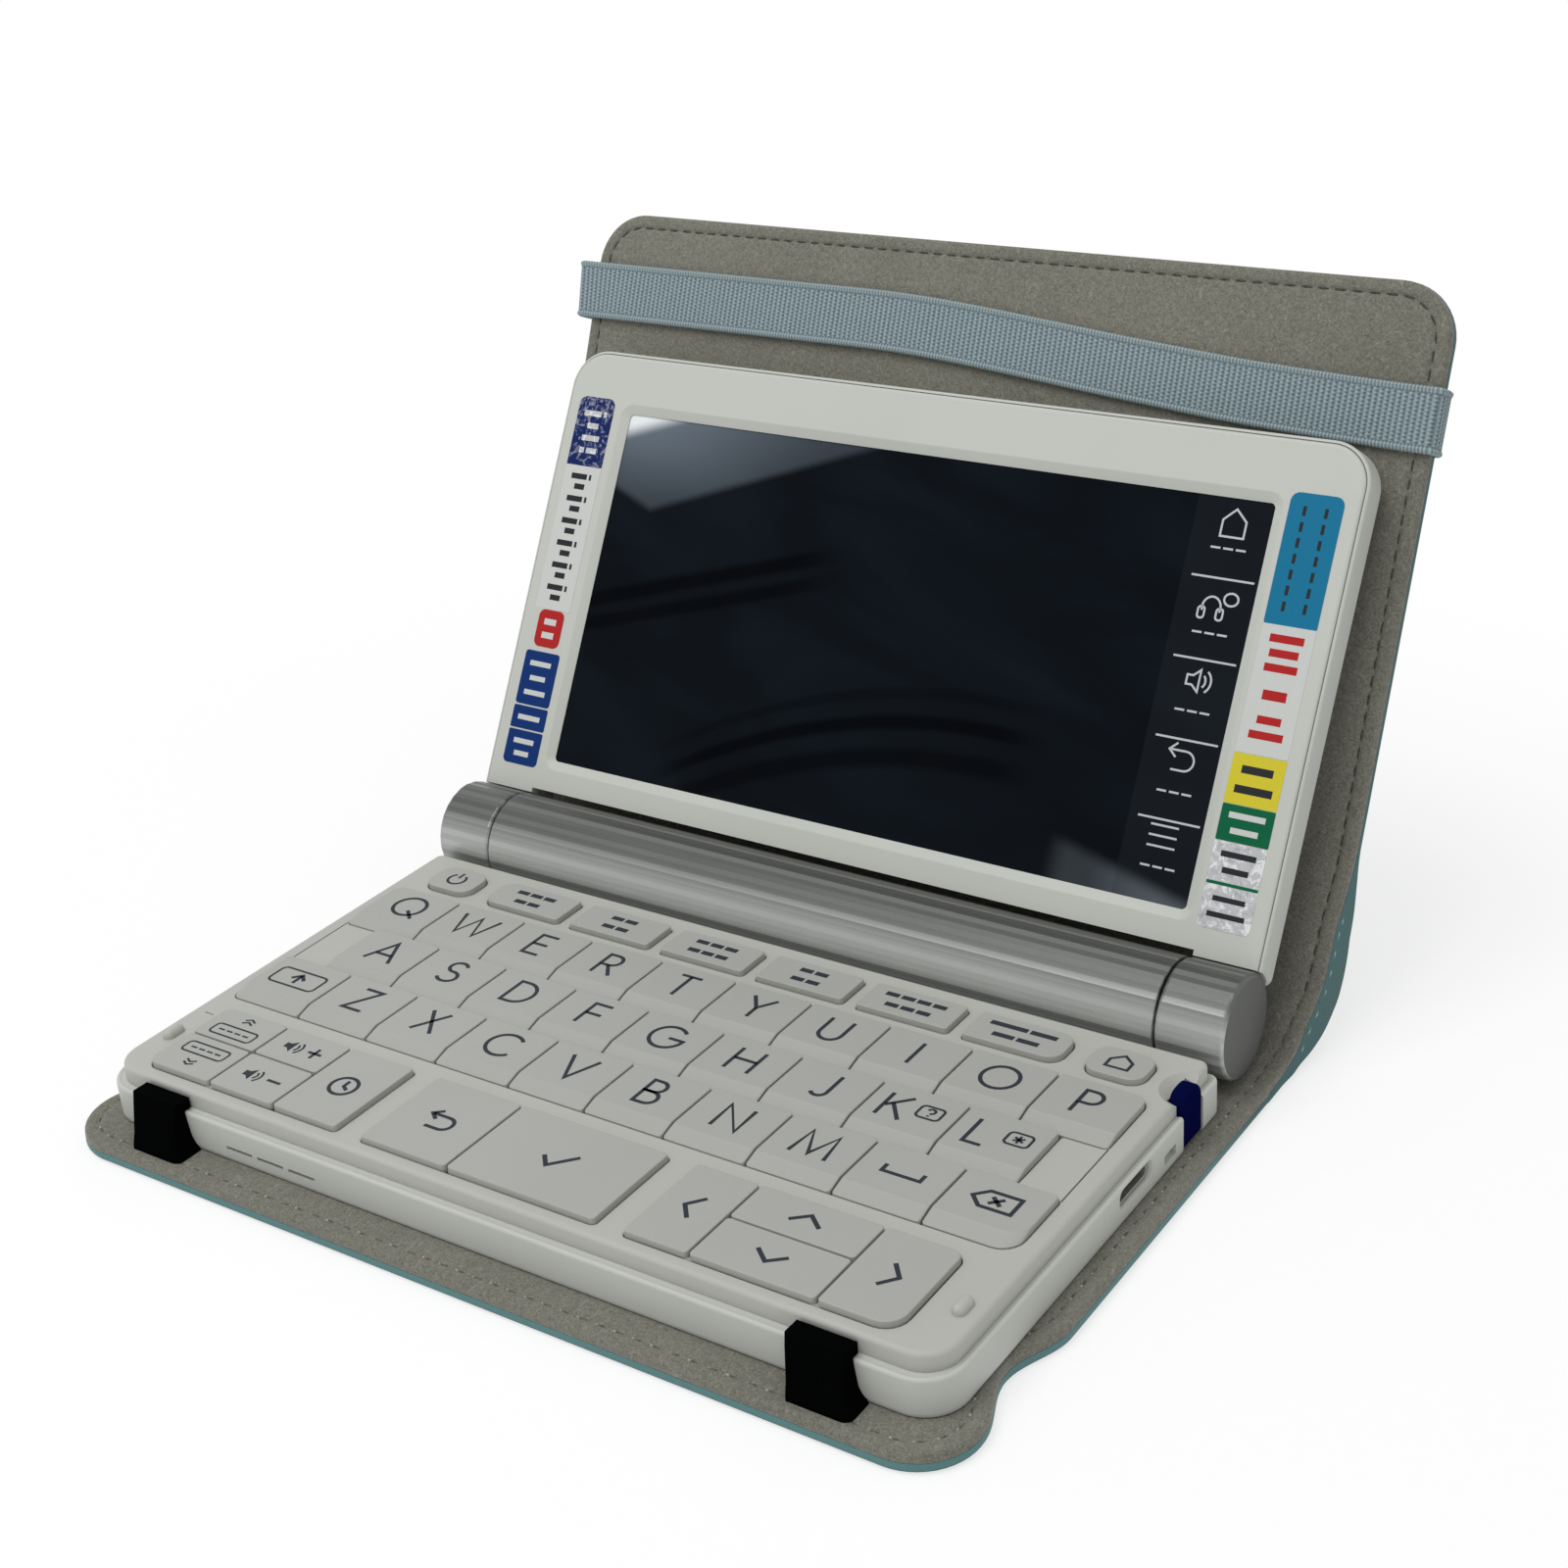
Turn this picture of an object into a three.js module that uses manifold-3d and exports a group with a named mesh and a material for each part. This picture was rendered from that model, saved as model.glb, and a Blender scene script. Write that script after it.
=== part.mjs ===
// Electronic dictionary in its folio case, shown open.
// Lengths are in millimetres. X runs to the right, Y to the back and Z up.
// The origin is the centre of the case's underside.

import * as THREE from 'three';
import { mergeVertices } from 'three/addons/utils/BufferGeometryUtils.js';
import Module from 'manifold-3d';

const wasm = await Module();
wasm.setup();

// Folio case
const caseSideMargin = 5.6;
const caseFrontMargin = 7.5;
const caseThickness = 3.0;
const caseCornerRadius = 9.0;
const coverShort = 5.35;
const closedRoom = 1.72;
const coverGap = 1.75;
const foldMargin = 1.03;
const foldGap = 0.15;
const waistDepth = 3.4;
const waistGap = 0.2;
const waistHalfLength = 11.0;
const waistSteps = 8;
const bulgeSteps = 10;
const bulgeCornerShares = [0.95, 0.14];

// Angles of the open pose, in degrees above the table's rearward direction
const spineAngle = 46.9;
const lidAngle = 60.3;

// Dictionary body
const deviceWidth = 148.0;
const deviceGap = 0.1;
const baseDepth = 79.0;
const baseCornerRadius = 9.5;
const baseRearRadius = 1.5;
const floorThickness = 1.2;
const rimLipWidth = 0.8;
const rimStep = 0.4;
const rimWall = 2.4;
const seatGap = 0.05;

// Key deck
const deckSideGap = 0.3;
const deckFrontGap = 0.8;
const deckRearGap = 0.1;
const deckPlate = 1.4;
const deckWall = 1.2;
const deckEdgeRound = 0.8;
const nubLength = 3.8;
const nubWidth = 2.0;
const nubHeight = 1.3;
const nubFromFront = 12.2;
const nubFromSide = 4.1;
const scoopRadius = 7.0;
const scoopDepth = 2.0;

// Keys
const keyGap = 0.26;
const keyRise = 0.9;
const keyDepthBelow = 1.9;
const keyTravelRoom = 0.85;
const keyShoulder = 0.2;
const keyTopInset = 0.35;
const letterSkirt = 1.2;
const smallSkirt = 0.55;
const keyCornerRadius = 0.8;
const letterMargin = 2.8;
const lettersBehindGap = 2.3;
const lettersFrontGap = 3.35;
const topKeyMargin = 3.9;
const topKeyDepth = 7.4;
const roundKeyWidth = 9.7;
const roundKeyFromSide = 11.65;
const roundKeyRadius = 2.6;
const roundKeyGap = 3.4;
const shortcutGap = 2.2;
const shortcutCount = 6;
const bottomKeyFront = 3.8;
const bottomKeyDepth = 17.6;
const bottomSplit = 9.4;
const bottomKeyMargin = 7.0;
const clusterGap = 4.5;
const arrowEndRadius = 3.6;
const padPlateDrop = 0.2;

// Widths of the bottom keys, as shares of the letter keys' pitch
const entryWidthShare = 0.9344;
const volumeWidthShare = 0.9272;
const historyWidthShare = 0.8987;
const backWidthShare = 1.1484;
const enterWidthShare = 1.8616;
const leftArrowWidthShare = 0.7632;
const upDownWidthShare = 1.4123;
const rightArrowWidthShare = 0.8488;

// Battery barrel and hinge
const cellRadius = 7.1;
const cellGap = 0.32;
const cellNubRadius = 2.7;
const cellNubHeight = 1.2;
const springRoom = 18.9;
const barrelWall = 0.75;
const barrelFloor = 1.21;
const barrelFrontGap = 0.33;
const barrelEndWall = 3.0;
const hingeCapLength = 10.85;
const endCapGap = 0.3;
const endCapBevel = 0.6;
const pinRadius = 2.5;
const pinBore = 1.2;
const pinShort = 2.85;
const pinClearance = 0.3;
const doorMargin = 10.85;
const doorBow = 2.87;
const doorGap = 0.25;
const cradleBehind = 5.5;
const cradleHeight = 3.2;
const cradleGap = 0.15;
const barrelSides = 48;

// Lid
const closedGap = 1.96;
const lidThickness = 6.5;
const lidFrontMargin = 0.4;
const lidFootTuck = 2.17;
const lidNotchGap = 1.03;
const lidCornerRadius = 8.0;
const lidFootRadius = 1.6;
const lidEdgeRound = 0.5;
const lidSeam = 0.75;
const lidWall = 2.2;
const lidBack = 1.4;
const lidGap = 0.15;
const bezelThickness = 2.0;
const bezelLip = 0.8;
const bezelSlope = 1.6;
const bezelSide = 13.8;
const bezelFoot = 5.4;
const bezelTop = 10.5;
const screenCorner = 0.8;
const glassBorder = 1.8;
const glassThickness = 0.9;

// Stylus
const stylusFromRear = 9.05;
const stylusCapDepth = 2.6;
const stylusCapWidth = 6.0;
const stylusCapLow = 0.35;
const stylusCapRise = 0.3;
const stylusCapRound = 1.6;
const stylusRadius = 1.6;
const stylusLength = 84.0;
const stylusTip = 3.0;
const stylusTipRadius = 0.7;
const stylusGap = 0.285;
const stylusHouseWall = 0.9;

// Circuit board, speaker and sockets
const boardThickness = 0.9;
const boardGap = 0.8;
const boardRearGap = 5.4;
const usbFromRear = 24.1;
const usbWidth = 7.6;
const usbHeight = 2.4;
const usbDepth = 5.6;
const usbWall = 0.4;
const usbGap = 0.3;
const usbCover = 0.28;
const speakerRadius = 8.0;
const speakerGap = 1.17;
const speakerFromLeft = 35.2;
const speakerFromFront = 13.0;
const postRadius = 1.6;
const recessFromRear = 16.5;
const recessWidth = 3.6;
const recessHeight = 1.6;
const recessLevel = 2.4;
const recessDepth = 0.8;
const slitCount = 3;
const slitLength = 5.2;
const slitGap = 1.0;
const slitHeight = 0.6;
const slitLevel = 2.2;

// Clips on the case's front edge
const clipFromSide = 15.7;
const clipHalfWidth = 4.0;
const clipFootHalfWidth = 4.8;
const clipTopDepth = 2.2;
const clipFootDepth = 4.3;
const clipFootHeight = 1.6;
const clipHook = 1.25;
const clipHookThickness = 1.4;
const clipRound = 0.4;
const clipGap = 0.1;

// Elastic band
const bandWidth = 10.4;
const bandThickness = 1.0;
const bandGap = 0.3;
const bandLooseLeft = 2.0;
const bandTail = 18.0;
const bandFromEdge = 14.15;
const bandDrop = 4.6;
const bandSlopeStart = -22.0;
const bandSlopeLength = 74.0;
const bandSteps = 16;

// One overrun serves all cuts
const overrun = 1.0;
const roundSteps = 4;
const keyRoundSteps = 3;
const pinSides = 20;

// Looks
const white = { color: 0xe4e3dc, roughness: 0.45, metalness: 0 };
const silver = { color: 0xa9abac, roughness: 0.35, metalness: 0.8 };
const glass = { color: 0x0c1018, roughness: 0.08, metalness: 0 };
const navy = { color: 0x10105a, roughness: 0.4, metalness: 0 };
const suede = { color: 0x96938a, roughness: 0.95, metalness: 0 };
const leather = { color: 0x6fa2a4, roughness: 0.6, metalness: 0 };
const elastic = { color: 0xa2bfca, roughness: 0.85, metalness: 0 };
const black = { color: 0x111213, roughness: 0.5, metalness: 0 };
const board = { color: 0x2f6b45, roughness: 0.6, metalness: 0 };
const cell = { color: 0x8c8f92, roughness: 0.4, metalness: 0.6 };

// Heights inside the base, from its underside: the stylus lies between floor and board
const stylusHeight = floorThickness + stylusGap + stylusRadius;
const boardUnder = stylusHeight + stylusRadius + stylusGap;
const boardTop = boardUnder + boardThickness;
const keyBottom = boardTop + keyTravelRoom;
const baseHeight = keyBottom + keyDepthBelow;
const ledge = boardUnder + usbGap + usbCover;
const rimTop = ledge + rimStep;

// Battery barrel, whose axis is the lid's hinge
const barrelBore = cellRadius + cellGap;
const barrelRadius = barrelBore + barrelWall;
const barrelHeight = barrelFloor + barrelRadius;
const barrelFromFront = baseDepth + barrelFrontGap + barrelRadius;
const barrelLength = deviceWidth - 2 * (hingeCapLength + endCapGap);
const halfBarrel = barrelLength / 2;
const cellLength = halfBarrel - barrelEndWall - cellNubHeight - springRoom / 2;
const pinReach = hingeCapLength - pinShort;
const pinBoreRadius = pinRadius + pinClearance;
const doorLength = barrelLength - 2 * doorMargin;
const doorStart = barrelRadius - doorBow;

// Lid, measured from the hinge axis along it and square to it
const lidFront = barrelHeight - baseHeight - closedGap;
const lidRear = lidFront - lidThickness;
const lidLength = barrelFromFront - lidFrontMargin;
const lidFoot = barrelRadius - lidFootTuck;
const lidNotch = barrelRadius + lidNotchGap;
const screenWidth = deviceWidth - 2 * bezelSide;
const screenBottom = lidNotch + bezelFoot;
const screenHeight = lidLength - screenBottom - bezelTop;

// Base plan
const halfDevice = deviceWidth / 2;
const deckSideInset = rimLipWidth + deckSideGap;
const deckFrontInset = rimLipWidth + deckFrontGap;
const deckRearInset = rimLipWidth + deckRearGap;
const stylusFromFront = baseDepth - stylusFromRear;
const usbFromFront = baseDepth - usbFromRear;
const recessFromFront = baseDepth - recessFromRear;
const boardRear = baseDepth - boardRearGap;
const boardMargin = rimWall + boardGap;

// Case plan
const caseWidth = deviceWidth + 2 * caseSideMargin;
const halfCase = caseWidth / 2;
const caseBaseDepth = caseFrontMargin + barrelFromFront + barrelRadius + foldMargin;
const foldY = caseBaseDepth / 2;
const caseCoverLength = caseBaseDepth - coverShort;
const waistFromFront = caseCornerRadius + waistHalfLength + waistGap;
const deviceFront = -foldY + caseFrontMargin;
const deviceBottom = caseThickness + deviceGap;

// Solid from a closed geometry
function solidOf(geometry) {
  const bare = geometry.index ? geometry.toNonIndexed() : geometry.clone();
  bare.deleteAttribute('normal');
  bare.deleteAttribute('uv');
  const welded = mergeVertices(bare);
  const mesh = new wasm.Mesh({
    numProp: 3,
    vertProperties: new Float32Array(welded.attributes.position.array),
    triVerts: new Uint32Array(welded.index.array),
  });
  return new wasm.Manifold(mesh);
}

// Named mesh from a solid
function meshOf(name, solid, look) {
  const data = solid.getMesh();
  const geometry = new THREE.BufferGeometry();
  geometry.setAttribute('position', new THREE.BufferAttribute(data.vertProperties, 3));
  geometry.setIndex(new THREE.BufferAttribute(data.triVerts, 1));
  geometry.computeVertexNormals();
  const mesh = new THREE.Mesh(geometry, new THREE.MeshStandardMaterial(look));
  mesh.name = name;
  return mesh;
}

// Rectangle with a radius at each corner: front left, front right, back right, back left
function roundedOutline(left, front, right, back, radii, steps) {
  const corners = [
    [left, front, 1, 1, Math.PI],
    [right, front, -1, 1, 1.5 * Math.PI],
    [right, back, -1, -1, 0],
    [left, back, 1, -1, 0.5 * Math.PI],
  ];
  const points = [];
  corners.forEach(([x, y, inX, inY, start], corner) => {
    const radius = radii[corner];
    for (let step = 0; step <= steps; step += 1) {
      const angle = start + (step / steps) * 0.5 * Math.PI;
      const px = x + inX * radius + radius * Math.cos(angle);
      const py = y + inY * radius + radius * Math.sin(angle);
      points.push(new THREE.Vector2(px, py));
    }
  });
  return points;
}

// Upright prism of an outline between two heights
function prism(points, low, high) {
  const settings = { depth: high - low, bevelEnabled: false };
  const geometry = new THREE.ExtrudeGeometry(new THREE.Shape(points), settings);
  return solidOf(geometry.translate(0, 0, low));
}

// Prism of a side outline, given as Y and Z, between two places along X
function sidePrism(points, start, end) {
  const settings = { depth: end - start, bevelEnabled: false };
  const geometry = new THREE.ExtrudeGeometry(new THREE.Shape(points), settings);
  const turn = new THREE.Matrix4().makeBasis(
    new THREE.Vector3(0, 1, 0),
    new THREE.Vector3(0, 0, 1),
    new THREE.Vector3(1, 0, 0),
  );
  geometry.applyMatrix4(turn).translate(start, 0, 0);
  return solidOf(geometry);
}

// Box between two corners
function block(low, high) {
  const size = high.map((value, axis) => value - low[axis]);
  const middle = high.map((value, axis) => (value + low[axis]) / 2);
  return solidOf(new THREE.BoxGeometry(...size).translate(...middle));
}

// Rod along X between two places
function rodX(radius, start, end, y, z, sides) {
  const geometry = new THREE.CylinderGeometry(radius, radius, end - start, sides);
  geometry.rotateZ(-Math.PI / 2).translate((start + end) / 2, y, z);
  return solidOf(geometry);
}

// Turned piece from radii and their places along X, facing right (1) or left (-1)
function turned(profile, sides, side) {
  const points = profile.map(([radius, along]) => new THREE.Vector2(radius, along));
  const lathe = new THREE.LatheGeometry(points, sides);
  lathe.rotateZ(-Math.PI / 2);
  if (side < 0) {
    lathe.rotateY(Math.PI);
  }
  return solidOf(lathe);
}

// Upright rod between two heights
function rodZ(radius, x, y, low, high, sides) {
  const geometry = new THREE.CylinderGeometry(radius, radius, high - low, sides);
  geometry.rotateX(Math.PI / 2).translate(x, y, (low + high) / 2);
  return solidOf(geometry);
}

// Solid through rings of points, each ring at its own height and with as many points
function loft(rings) {
  const count = rings[0].points.length;
  const positions = [];
  const index = [];
  rings.forEach((ring) => {
    ring.points.forEach((point) => positions.push(point.x, point.y, ring.z));
  });
  for (let ring = 0; ring + 1 < rings.length; ring += 1) {
    for (let i = 0; i < count; i += 1) {
      const next = (i + 1) % count;
      const a = ring * count + i;
      const b = ring * count + next;
      index.push(a, b, b + count, a, b + count, a + count);
    }
  }
  const top = (rings.length - 1) * count;
  THREE.ShapeUtils.triangulateShape(rings[0].points, []).forEach(([a, b, c]) => {
    index.push(a, c, b);
  });
  THREE.ShapeUtils.triangulateShape(rings[rings.length - 1].points, []).forEach(([a, b, c]) => {
    index.push(top + a, top + b, top + c);
  });
  const geometry = new THREE.BufferGeometry();
  geometry.setAttribute('position', new THREE.Float32BufferAttribute(positions, 3));
  geometry.setIndex(index);
  return solidOf(geometry);
}

// Outline of a rectangle drawn in on all sides, and further at the front
function insetOutline(box, inset, frontInset, radii, steps) {
  const smaller = radii.map((radius) => Math.max(radius - inset, radius / 4));
  return roundedOutline(
    box.left + inset,
    box.front + frontInset,
    box.right - inset,
    box.back - inset,
    smaller,
    steps,
  );
}

// Key places, as boxes on the deck
function box(left, front, width, depth) {
  return { left, front, right: left + width, back: front + depth };
}

const letterRows = [
  { keys: ['shift_key', ...letterNames('zxcvbnm'), 'space_key', 'delete_key'], row: 0 },
  { keys: letterNames('asdfghjkl'), row: 1 },
  { keys: letterNames('qwertyuiop'), row: 2 },
];

function letterNames(letters) {
  return [...letters].map((letter) => `key_${letter}`);
}

// The widest letter row spans the deck, and the rows fill the room between their neighbours
const widestRow = letterRows[0].keys.length;
const keyPitch = (deviceWidth - 2 * (deckSideInset + letterMargin)) / widestRow;
const topKeyFront = baseDepth - deckRearInset - topKeyMargin - topKeyDepth;
const letterFront = bottomKeyFront + bottomKeyDepth + lettersFrontGap;
const rowPitch = (topKeyFront - lettersBehindGap - letterFront) / letterRows.length;

function letterRowBox({ keys, row }) {
  const width = keys.length * keyPitch;
  return box(-width / 2, letterFront + row * rowPitch, width, rowPitch);
}

const roundKeyInner = halfDevice - roundKeyFromSide - roundKeyWidth / 2;
const powerBox = box(-roundKeyInner - roundKeyWidth, topKeyFront, roundKeyWidth, topKeyDepth);
const homeBox = box(roundKeyInner, topKeyFront, roundKeyWidth, topKeyDepth);
const shortcutPitch = (2 * (roundKeyInner - roundKeyGap) + shortcutGap) / shortcutCount;
const shortcutWidth = shortcutPitch - shortcutGap;
const shortcutsLeft = roundKeyGap - roundKeyInner;
const entryWidth = entryWidthShare * keyPitch;
const volumeWidth = volumeWidthShare * keyPitch;
const historyWidth = historyWidthShare * keyPitch;
const backWidth = backWidthShare * keyPitch;
const enterWidth = enterWidthShare * keyPitch;
const leftArrowWidth = leftArrowWidthShare * keyPitch;
const upDownWidth = upDownWidthShare * keyPitch;
const rightArrowWidth = rightArrowWidthShare * keyPitch;
const entryLeft = bottomKeyMargin - halfDevice;
const volumeLeft = entryLeft + entryWidth;
const historyLeft = volumeLeft + volumeWidth;
const backLeft = historyLeft + historyWidth + clusterGap;
const enterLeft = backLeft + backWidth;
const arrowsLeft = enterLeft + enterWidth + clusterGap;
const upDownLeft = arrowsLeft + leftArrowWidth;
const rightArrowLeft = upDownLeft + upDownWidth;
const arrowsRight = rightArrowLeft + rightArrowWidth;

function shortcutBox(place) {
  const left = shortcutsLeft + place * shortcutPitch;
  return box(left, topKeyFront, shortcutWidth, topKeyDepth);
}

// The row's two ends are round
function shortcutRadii(place) {
  const left = place === 0 ? roundKeyRadius : keyCornerRadius;
  const right = place + 1 === shortcutCount ? roundKeyRadius : keyCornerRadius;
  return [left, right, right, left];
}

function bottomBox(left, width) {
  return box(left, bottomKeyFront, width, bottomKeyDepth);
}

function evenRadii(radius) {
  return [radius, radius, radius, radius];
}

// One key cap: straight sides through the deck, then drawn in to a flat top
function keySolid(place, radii, skirt, low) {
  const half = keyGap / 2;
  const top = baseHeight + keyRise;
  const foot = insetOutline(place, half, half, radii, keyRoundSteps);
  const crown = insetOutline(place, half + keyTopInset, half + skirt, radii, keyRoundSteps);
  return loft([
    { z: low, points: foot },
    { z: baseHeight + keyShoulder, points: foot },
    { z: top, points: crown },
  ]);
}

function plainKey(name, place, radii, skirt) {
  return meshOf(name, keySolid(place, radii, skirt, keyBottom), white);
}

// Several caps on one plate, which rock and press together
function keyPad(name, whole, wholeRadii, caps) {
  const half = keyGap / 2;
  const plateTop = baseHeight - padPlateDrop;
  let pad = prism(insetOutline(whole, half, half, wholeRadii, keyRoundSteps), keyBottom, plateTop);
  caps.forEach(({ place, radii }) => {
    pad = pad.add(keySolid(place, radii, smallSkirt, keyBottom));
  });
  return meshOf(name, pad, white);
}

function frontHalf(place) {
  return { ...place, back: place.front + bottomSplit };
}

function backHalf(place) {
  return { ...place, front: place.front + bottomSplit };
}

function makeKeys() {
  const keys = [];
  const small = evenRadii(keyCornerRadius);
  letterRows.forEach((row) => {
    const whole = letterRowBox(row);
    row.keys.forEach((name, place) => {
      const key = box(whole.left + place * keyPitch, whole.front, keyPitch, rowPitch);
      keys.push(plainKey(name, key, small, letterSkirt));
    });
  });
  keys.push(plainKey('power_key', powerBox, evenRadii(roundKeyRadius), smallSkirt));
  keys.push(plainKey('home_key', homeBox, evenRadii(roundKeyRadius), smallSkirt));
  for (let place = 0; place < shortcutCount; place += 1) {
    const name = `shortcut_key_${place + 1}`;
    keys.push(plainKey(name, shortcutBox(place), shortcutRadii(place), smallSkirt));
  }
  const entry = bottomBox(entryLeft, entryWidth);
  const volume = bottomBox(volumeLeft, volumeWidth);
  const endRound = [arrowEndRadius, keyCornerRadius, keyCornerRadius, arrowEndRadius];
  keys.push(keyPad(
    'entry_volume_pad',
    bottomBox(entryLeft, entryWidth + volumeWidth),
    endRound,
    [
      { place: frontHalf(entry), radii: [arrowEndRadius, ...evenRadii(keyCornerRadius).slice(1)] },
      { place: backHalf(entry), radii: [...evenRadii(keyCornerRadius).slice(1), arrowEndRadius] },
      { place: frontHalf(volume), radii: small },
      { place: backHalf(volume), radii: small },
    ],
  ));
  keys.push(plainKey('history_key', bottomBox(historyLeft, historyWidth), small, smallSkirt));
  keys.push(plainKey('back_key', bottomBox(backLeft, backWidth), small, smallSkirt));
  keys.push(plainKey('enter_key', bottomBox(enterLeft, enterWidth), small, smallSkirt));
  const upDown = bottomBox(upDownLeft, upDownWidth);
  const rightRound = [keyCornerRadius, arrowEndRadius, arrowEndRadius, keyCornerRadius];
  keys.push(keyPad(
    'arrow_pad',
    bottomBox(arrowsLeft, arrowsRight - arrowsLeft),
    rightRound,
    [
      { place: bottomBox(arrowsLeft, leftArrowWidth), radii: small },
      { place: frontHalf(upDown), radii: small },
      { place: backHalf(upDown), radii: small },
      { place: bottomBox(rightArrowLeft, rightArrowWidth), radii: rightRound },
    ],
  ));
  return keys;
}

// Deck plate with its outer wall, key openings, rest nubs and the stylus's finger scoop
function deckOutline(inset) {
  return roundedOutline(
    -halfDevice + deckSideInset + inset,
    deckFrontInset + inset,
    halfDevice - deckSideInset - inset,
    baseDepth - deckRearInset - inset,
    [
      baseCornerRadius - deckSideInset - inset,
      baseCornerRadius - deckSideInset - inset,
      Math.max(baseRearRadius - inset, baseRearRadius / 4),
      Math.max(baseRearRadius - inset, baseRearRadius / 4),
    ],
    roundSteps,
  );
}

function opening(place, radii) {
  const points = insetOutline(place, 0, 0, radii, keyRoundSteps);
  return prism(points, ledge, baseHeight + overrun);
}

function restNub(side) {
  const x = side * (halfDevice - nubFromSide);
  const half = nubWidth / 2;
  const low = roundedOutline(
    x - half,
    nubFromFront - nubLength / 2,
    x + half,
    nubFromFront + nubLength / 2,
    evenRadii(half),
    roundSteps,
  );
  const crown = roundedOutline(
    x - half / 2,
    nubFromFront - nubLength / 2 + half / 2,
    x + half / 2,
    nubFromFront + nubLength / 2 - half / 2,
    evenRadii(half / 2),
    roundSteps,
  );
  return loft([
    { z: baseHeight - deckPlate / 2, points: low },
    { z: baseHeight + nubHeight - half / 2, points: low },
    { z: baseHeight + nubHeight, points: crown },
  ]);
}

function stylusPocket() {
  const half = stylusCapWidth / 2 + stylusGap;
  return block(
    [halfDevice - stylusCapDepth - stylusGap, stylusFromFront - half, -overrun],
    [halfDevice + overrun, stylusFromFront + half, baseHeight + overrun],
  );
}

function makeDeck() {
  let deck = loft([
    { z: ledge + seatGap, points: deckOutline(0) },
    { z: baseHeight - deckEdgeRound, points: deckOutline(0) },
    { z: baseHeight - deckEdgeRound / 4, points: deckOutline(deckEdgeRound / 4) },
    { z: baseHeight, points: deckOutline(deckEdgeRound) },
  ]);
  deck = deck.subtract(prism(deckOutline(deckWall), 0, baseHeight - deckPlate));
  const small = evenRadii(keyCornerRadius);
  letterRows.forEach((row) => {
    deck = deck.subtract(opening(letterRowBox(row), small));
  });
  const middle = letterRowBox(letterRows[1]);
  deck = deck.subtract(block(
    [middle.left, middle.front - keyCornerRadius * 2, ledge],
    [middle.right, middle.back + keyCornerRadius * 2, baseHeight + overrun],
  ));
  deck = deck.subtract(opening(powerBox, evenRadii(roundKeyRadius)));
  deck = deck.subtract(opening(homeBox, evenRadii(roundKeyRadius)));
  for (let place = 0; place < shortcutCount; place += 1) {
    deck = deck.subtract(opening(shortcutBox(place), shortcutRadii(place)));
  }
  const firstWidth = entryWidth + volumeWidth + historyWidth;
  const endRound = [arrowEndRadius, keyCornerRadius, keyCornerRadius, arrowEndRadius];
  const rightRound = [keyCornerRadius, arrowEndRadius, arrowEndRadius, keyCornerRadius];
  deck = deck.subtract(opening(bottomBox(entryLeft, firstWidth), endRound));
  deck = deck.subtract(opening(bottomBox(backLeft, backWidth + enterWidth), small));
  deck = deck.subtract(opening(bottomBox(arrowsLeft, arrowsRight - arrowsLeft), rightRound));
  deck = deck.add(restNub(-1)).add(restNub(1));
  const scoop = new THREE.SphereGeometry(scoopRadius, pinSides, pinSides / 2);
  scoop.rotateX(Math.PI / 2);
  scoop.translate(halfDevice, stylusFromFront, baseHeight + scoopRadius - scoopDepth);
  deck = deck.subtract(solidOf(scoop)).subtract(stylusPocket());
  return meshOf('key_deck', deck, white);
}

// Lower case: tray with a stepped rim, posts, stylus housing and the barrel's cradle
function caseOutline(inset) {
  return roundedOutline(
    -halfDevice + inset,
    inset,
    halfDevice - inset,
    baseDepth - inset,
    [
      baseCornerRadius - inset,
      baseCornerRadius - inset,
      Math.max(baseRearRadius - inset, baseRearRadius / 4),
      Math.max(baseRearRadius - inset, baseRearRadius / 4),
    ],
    roundSteps,
  );
}

const housingEnd = halfDevice - rimWall - stylusGap;
const housingStart = housingEnd - stylusLength + stylusCapDepth;

function stylusHousing() {
  const half = stylusRadius + stylusGap + stylusHouseWall;
  return block(
    [housingStart, stylusFromFront - half, 0],
    [housingEnd, stylusFromFront + half, boardUnder - seatGap],
  );
}

// Round-bottomed channel for the stylus, open towards the board
function stylusChannel() {
  const radius = stylusRadius + stylusGap;
  const start = housingStart - overrun;
  const end = halfDevice + overrun;
  const round = rodX(radius, start, end, stylusFromFront, stylusHeight, pinSides);
  return round.add(block(
    [start, stylusFromFront - radius, stylusHeight],
    [housingEnd, stylusFromFront + radius, boardUnder],
  ));
}

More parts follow.
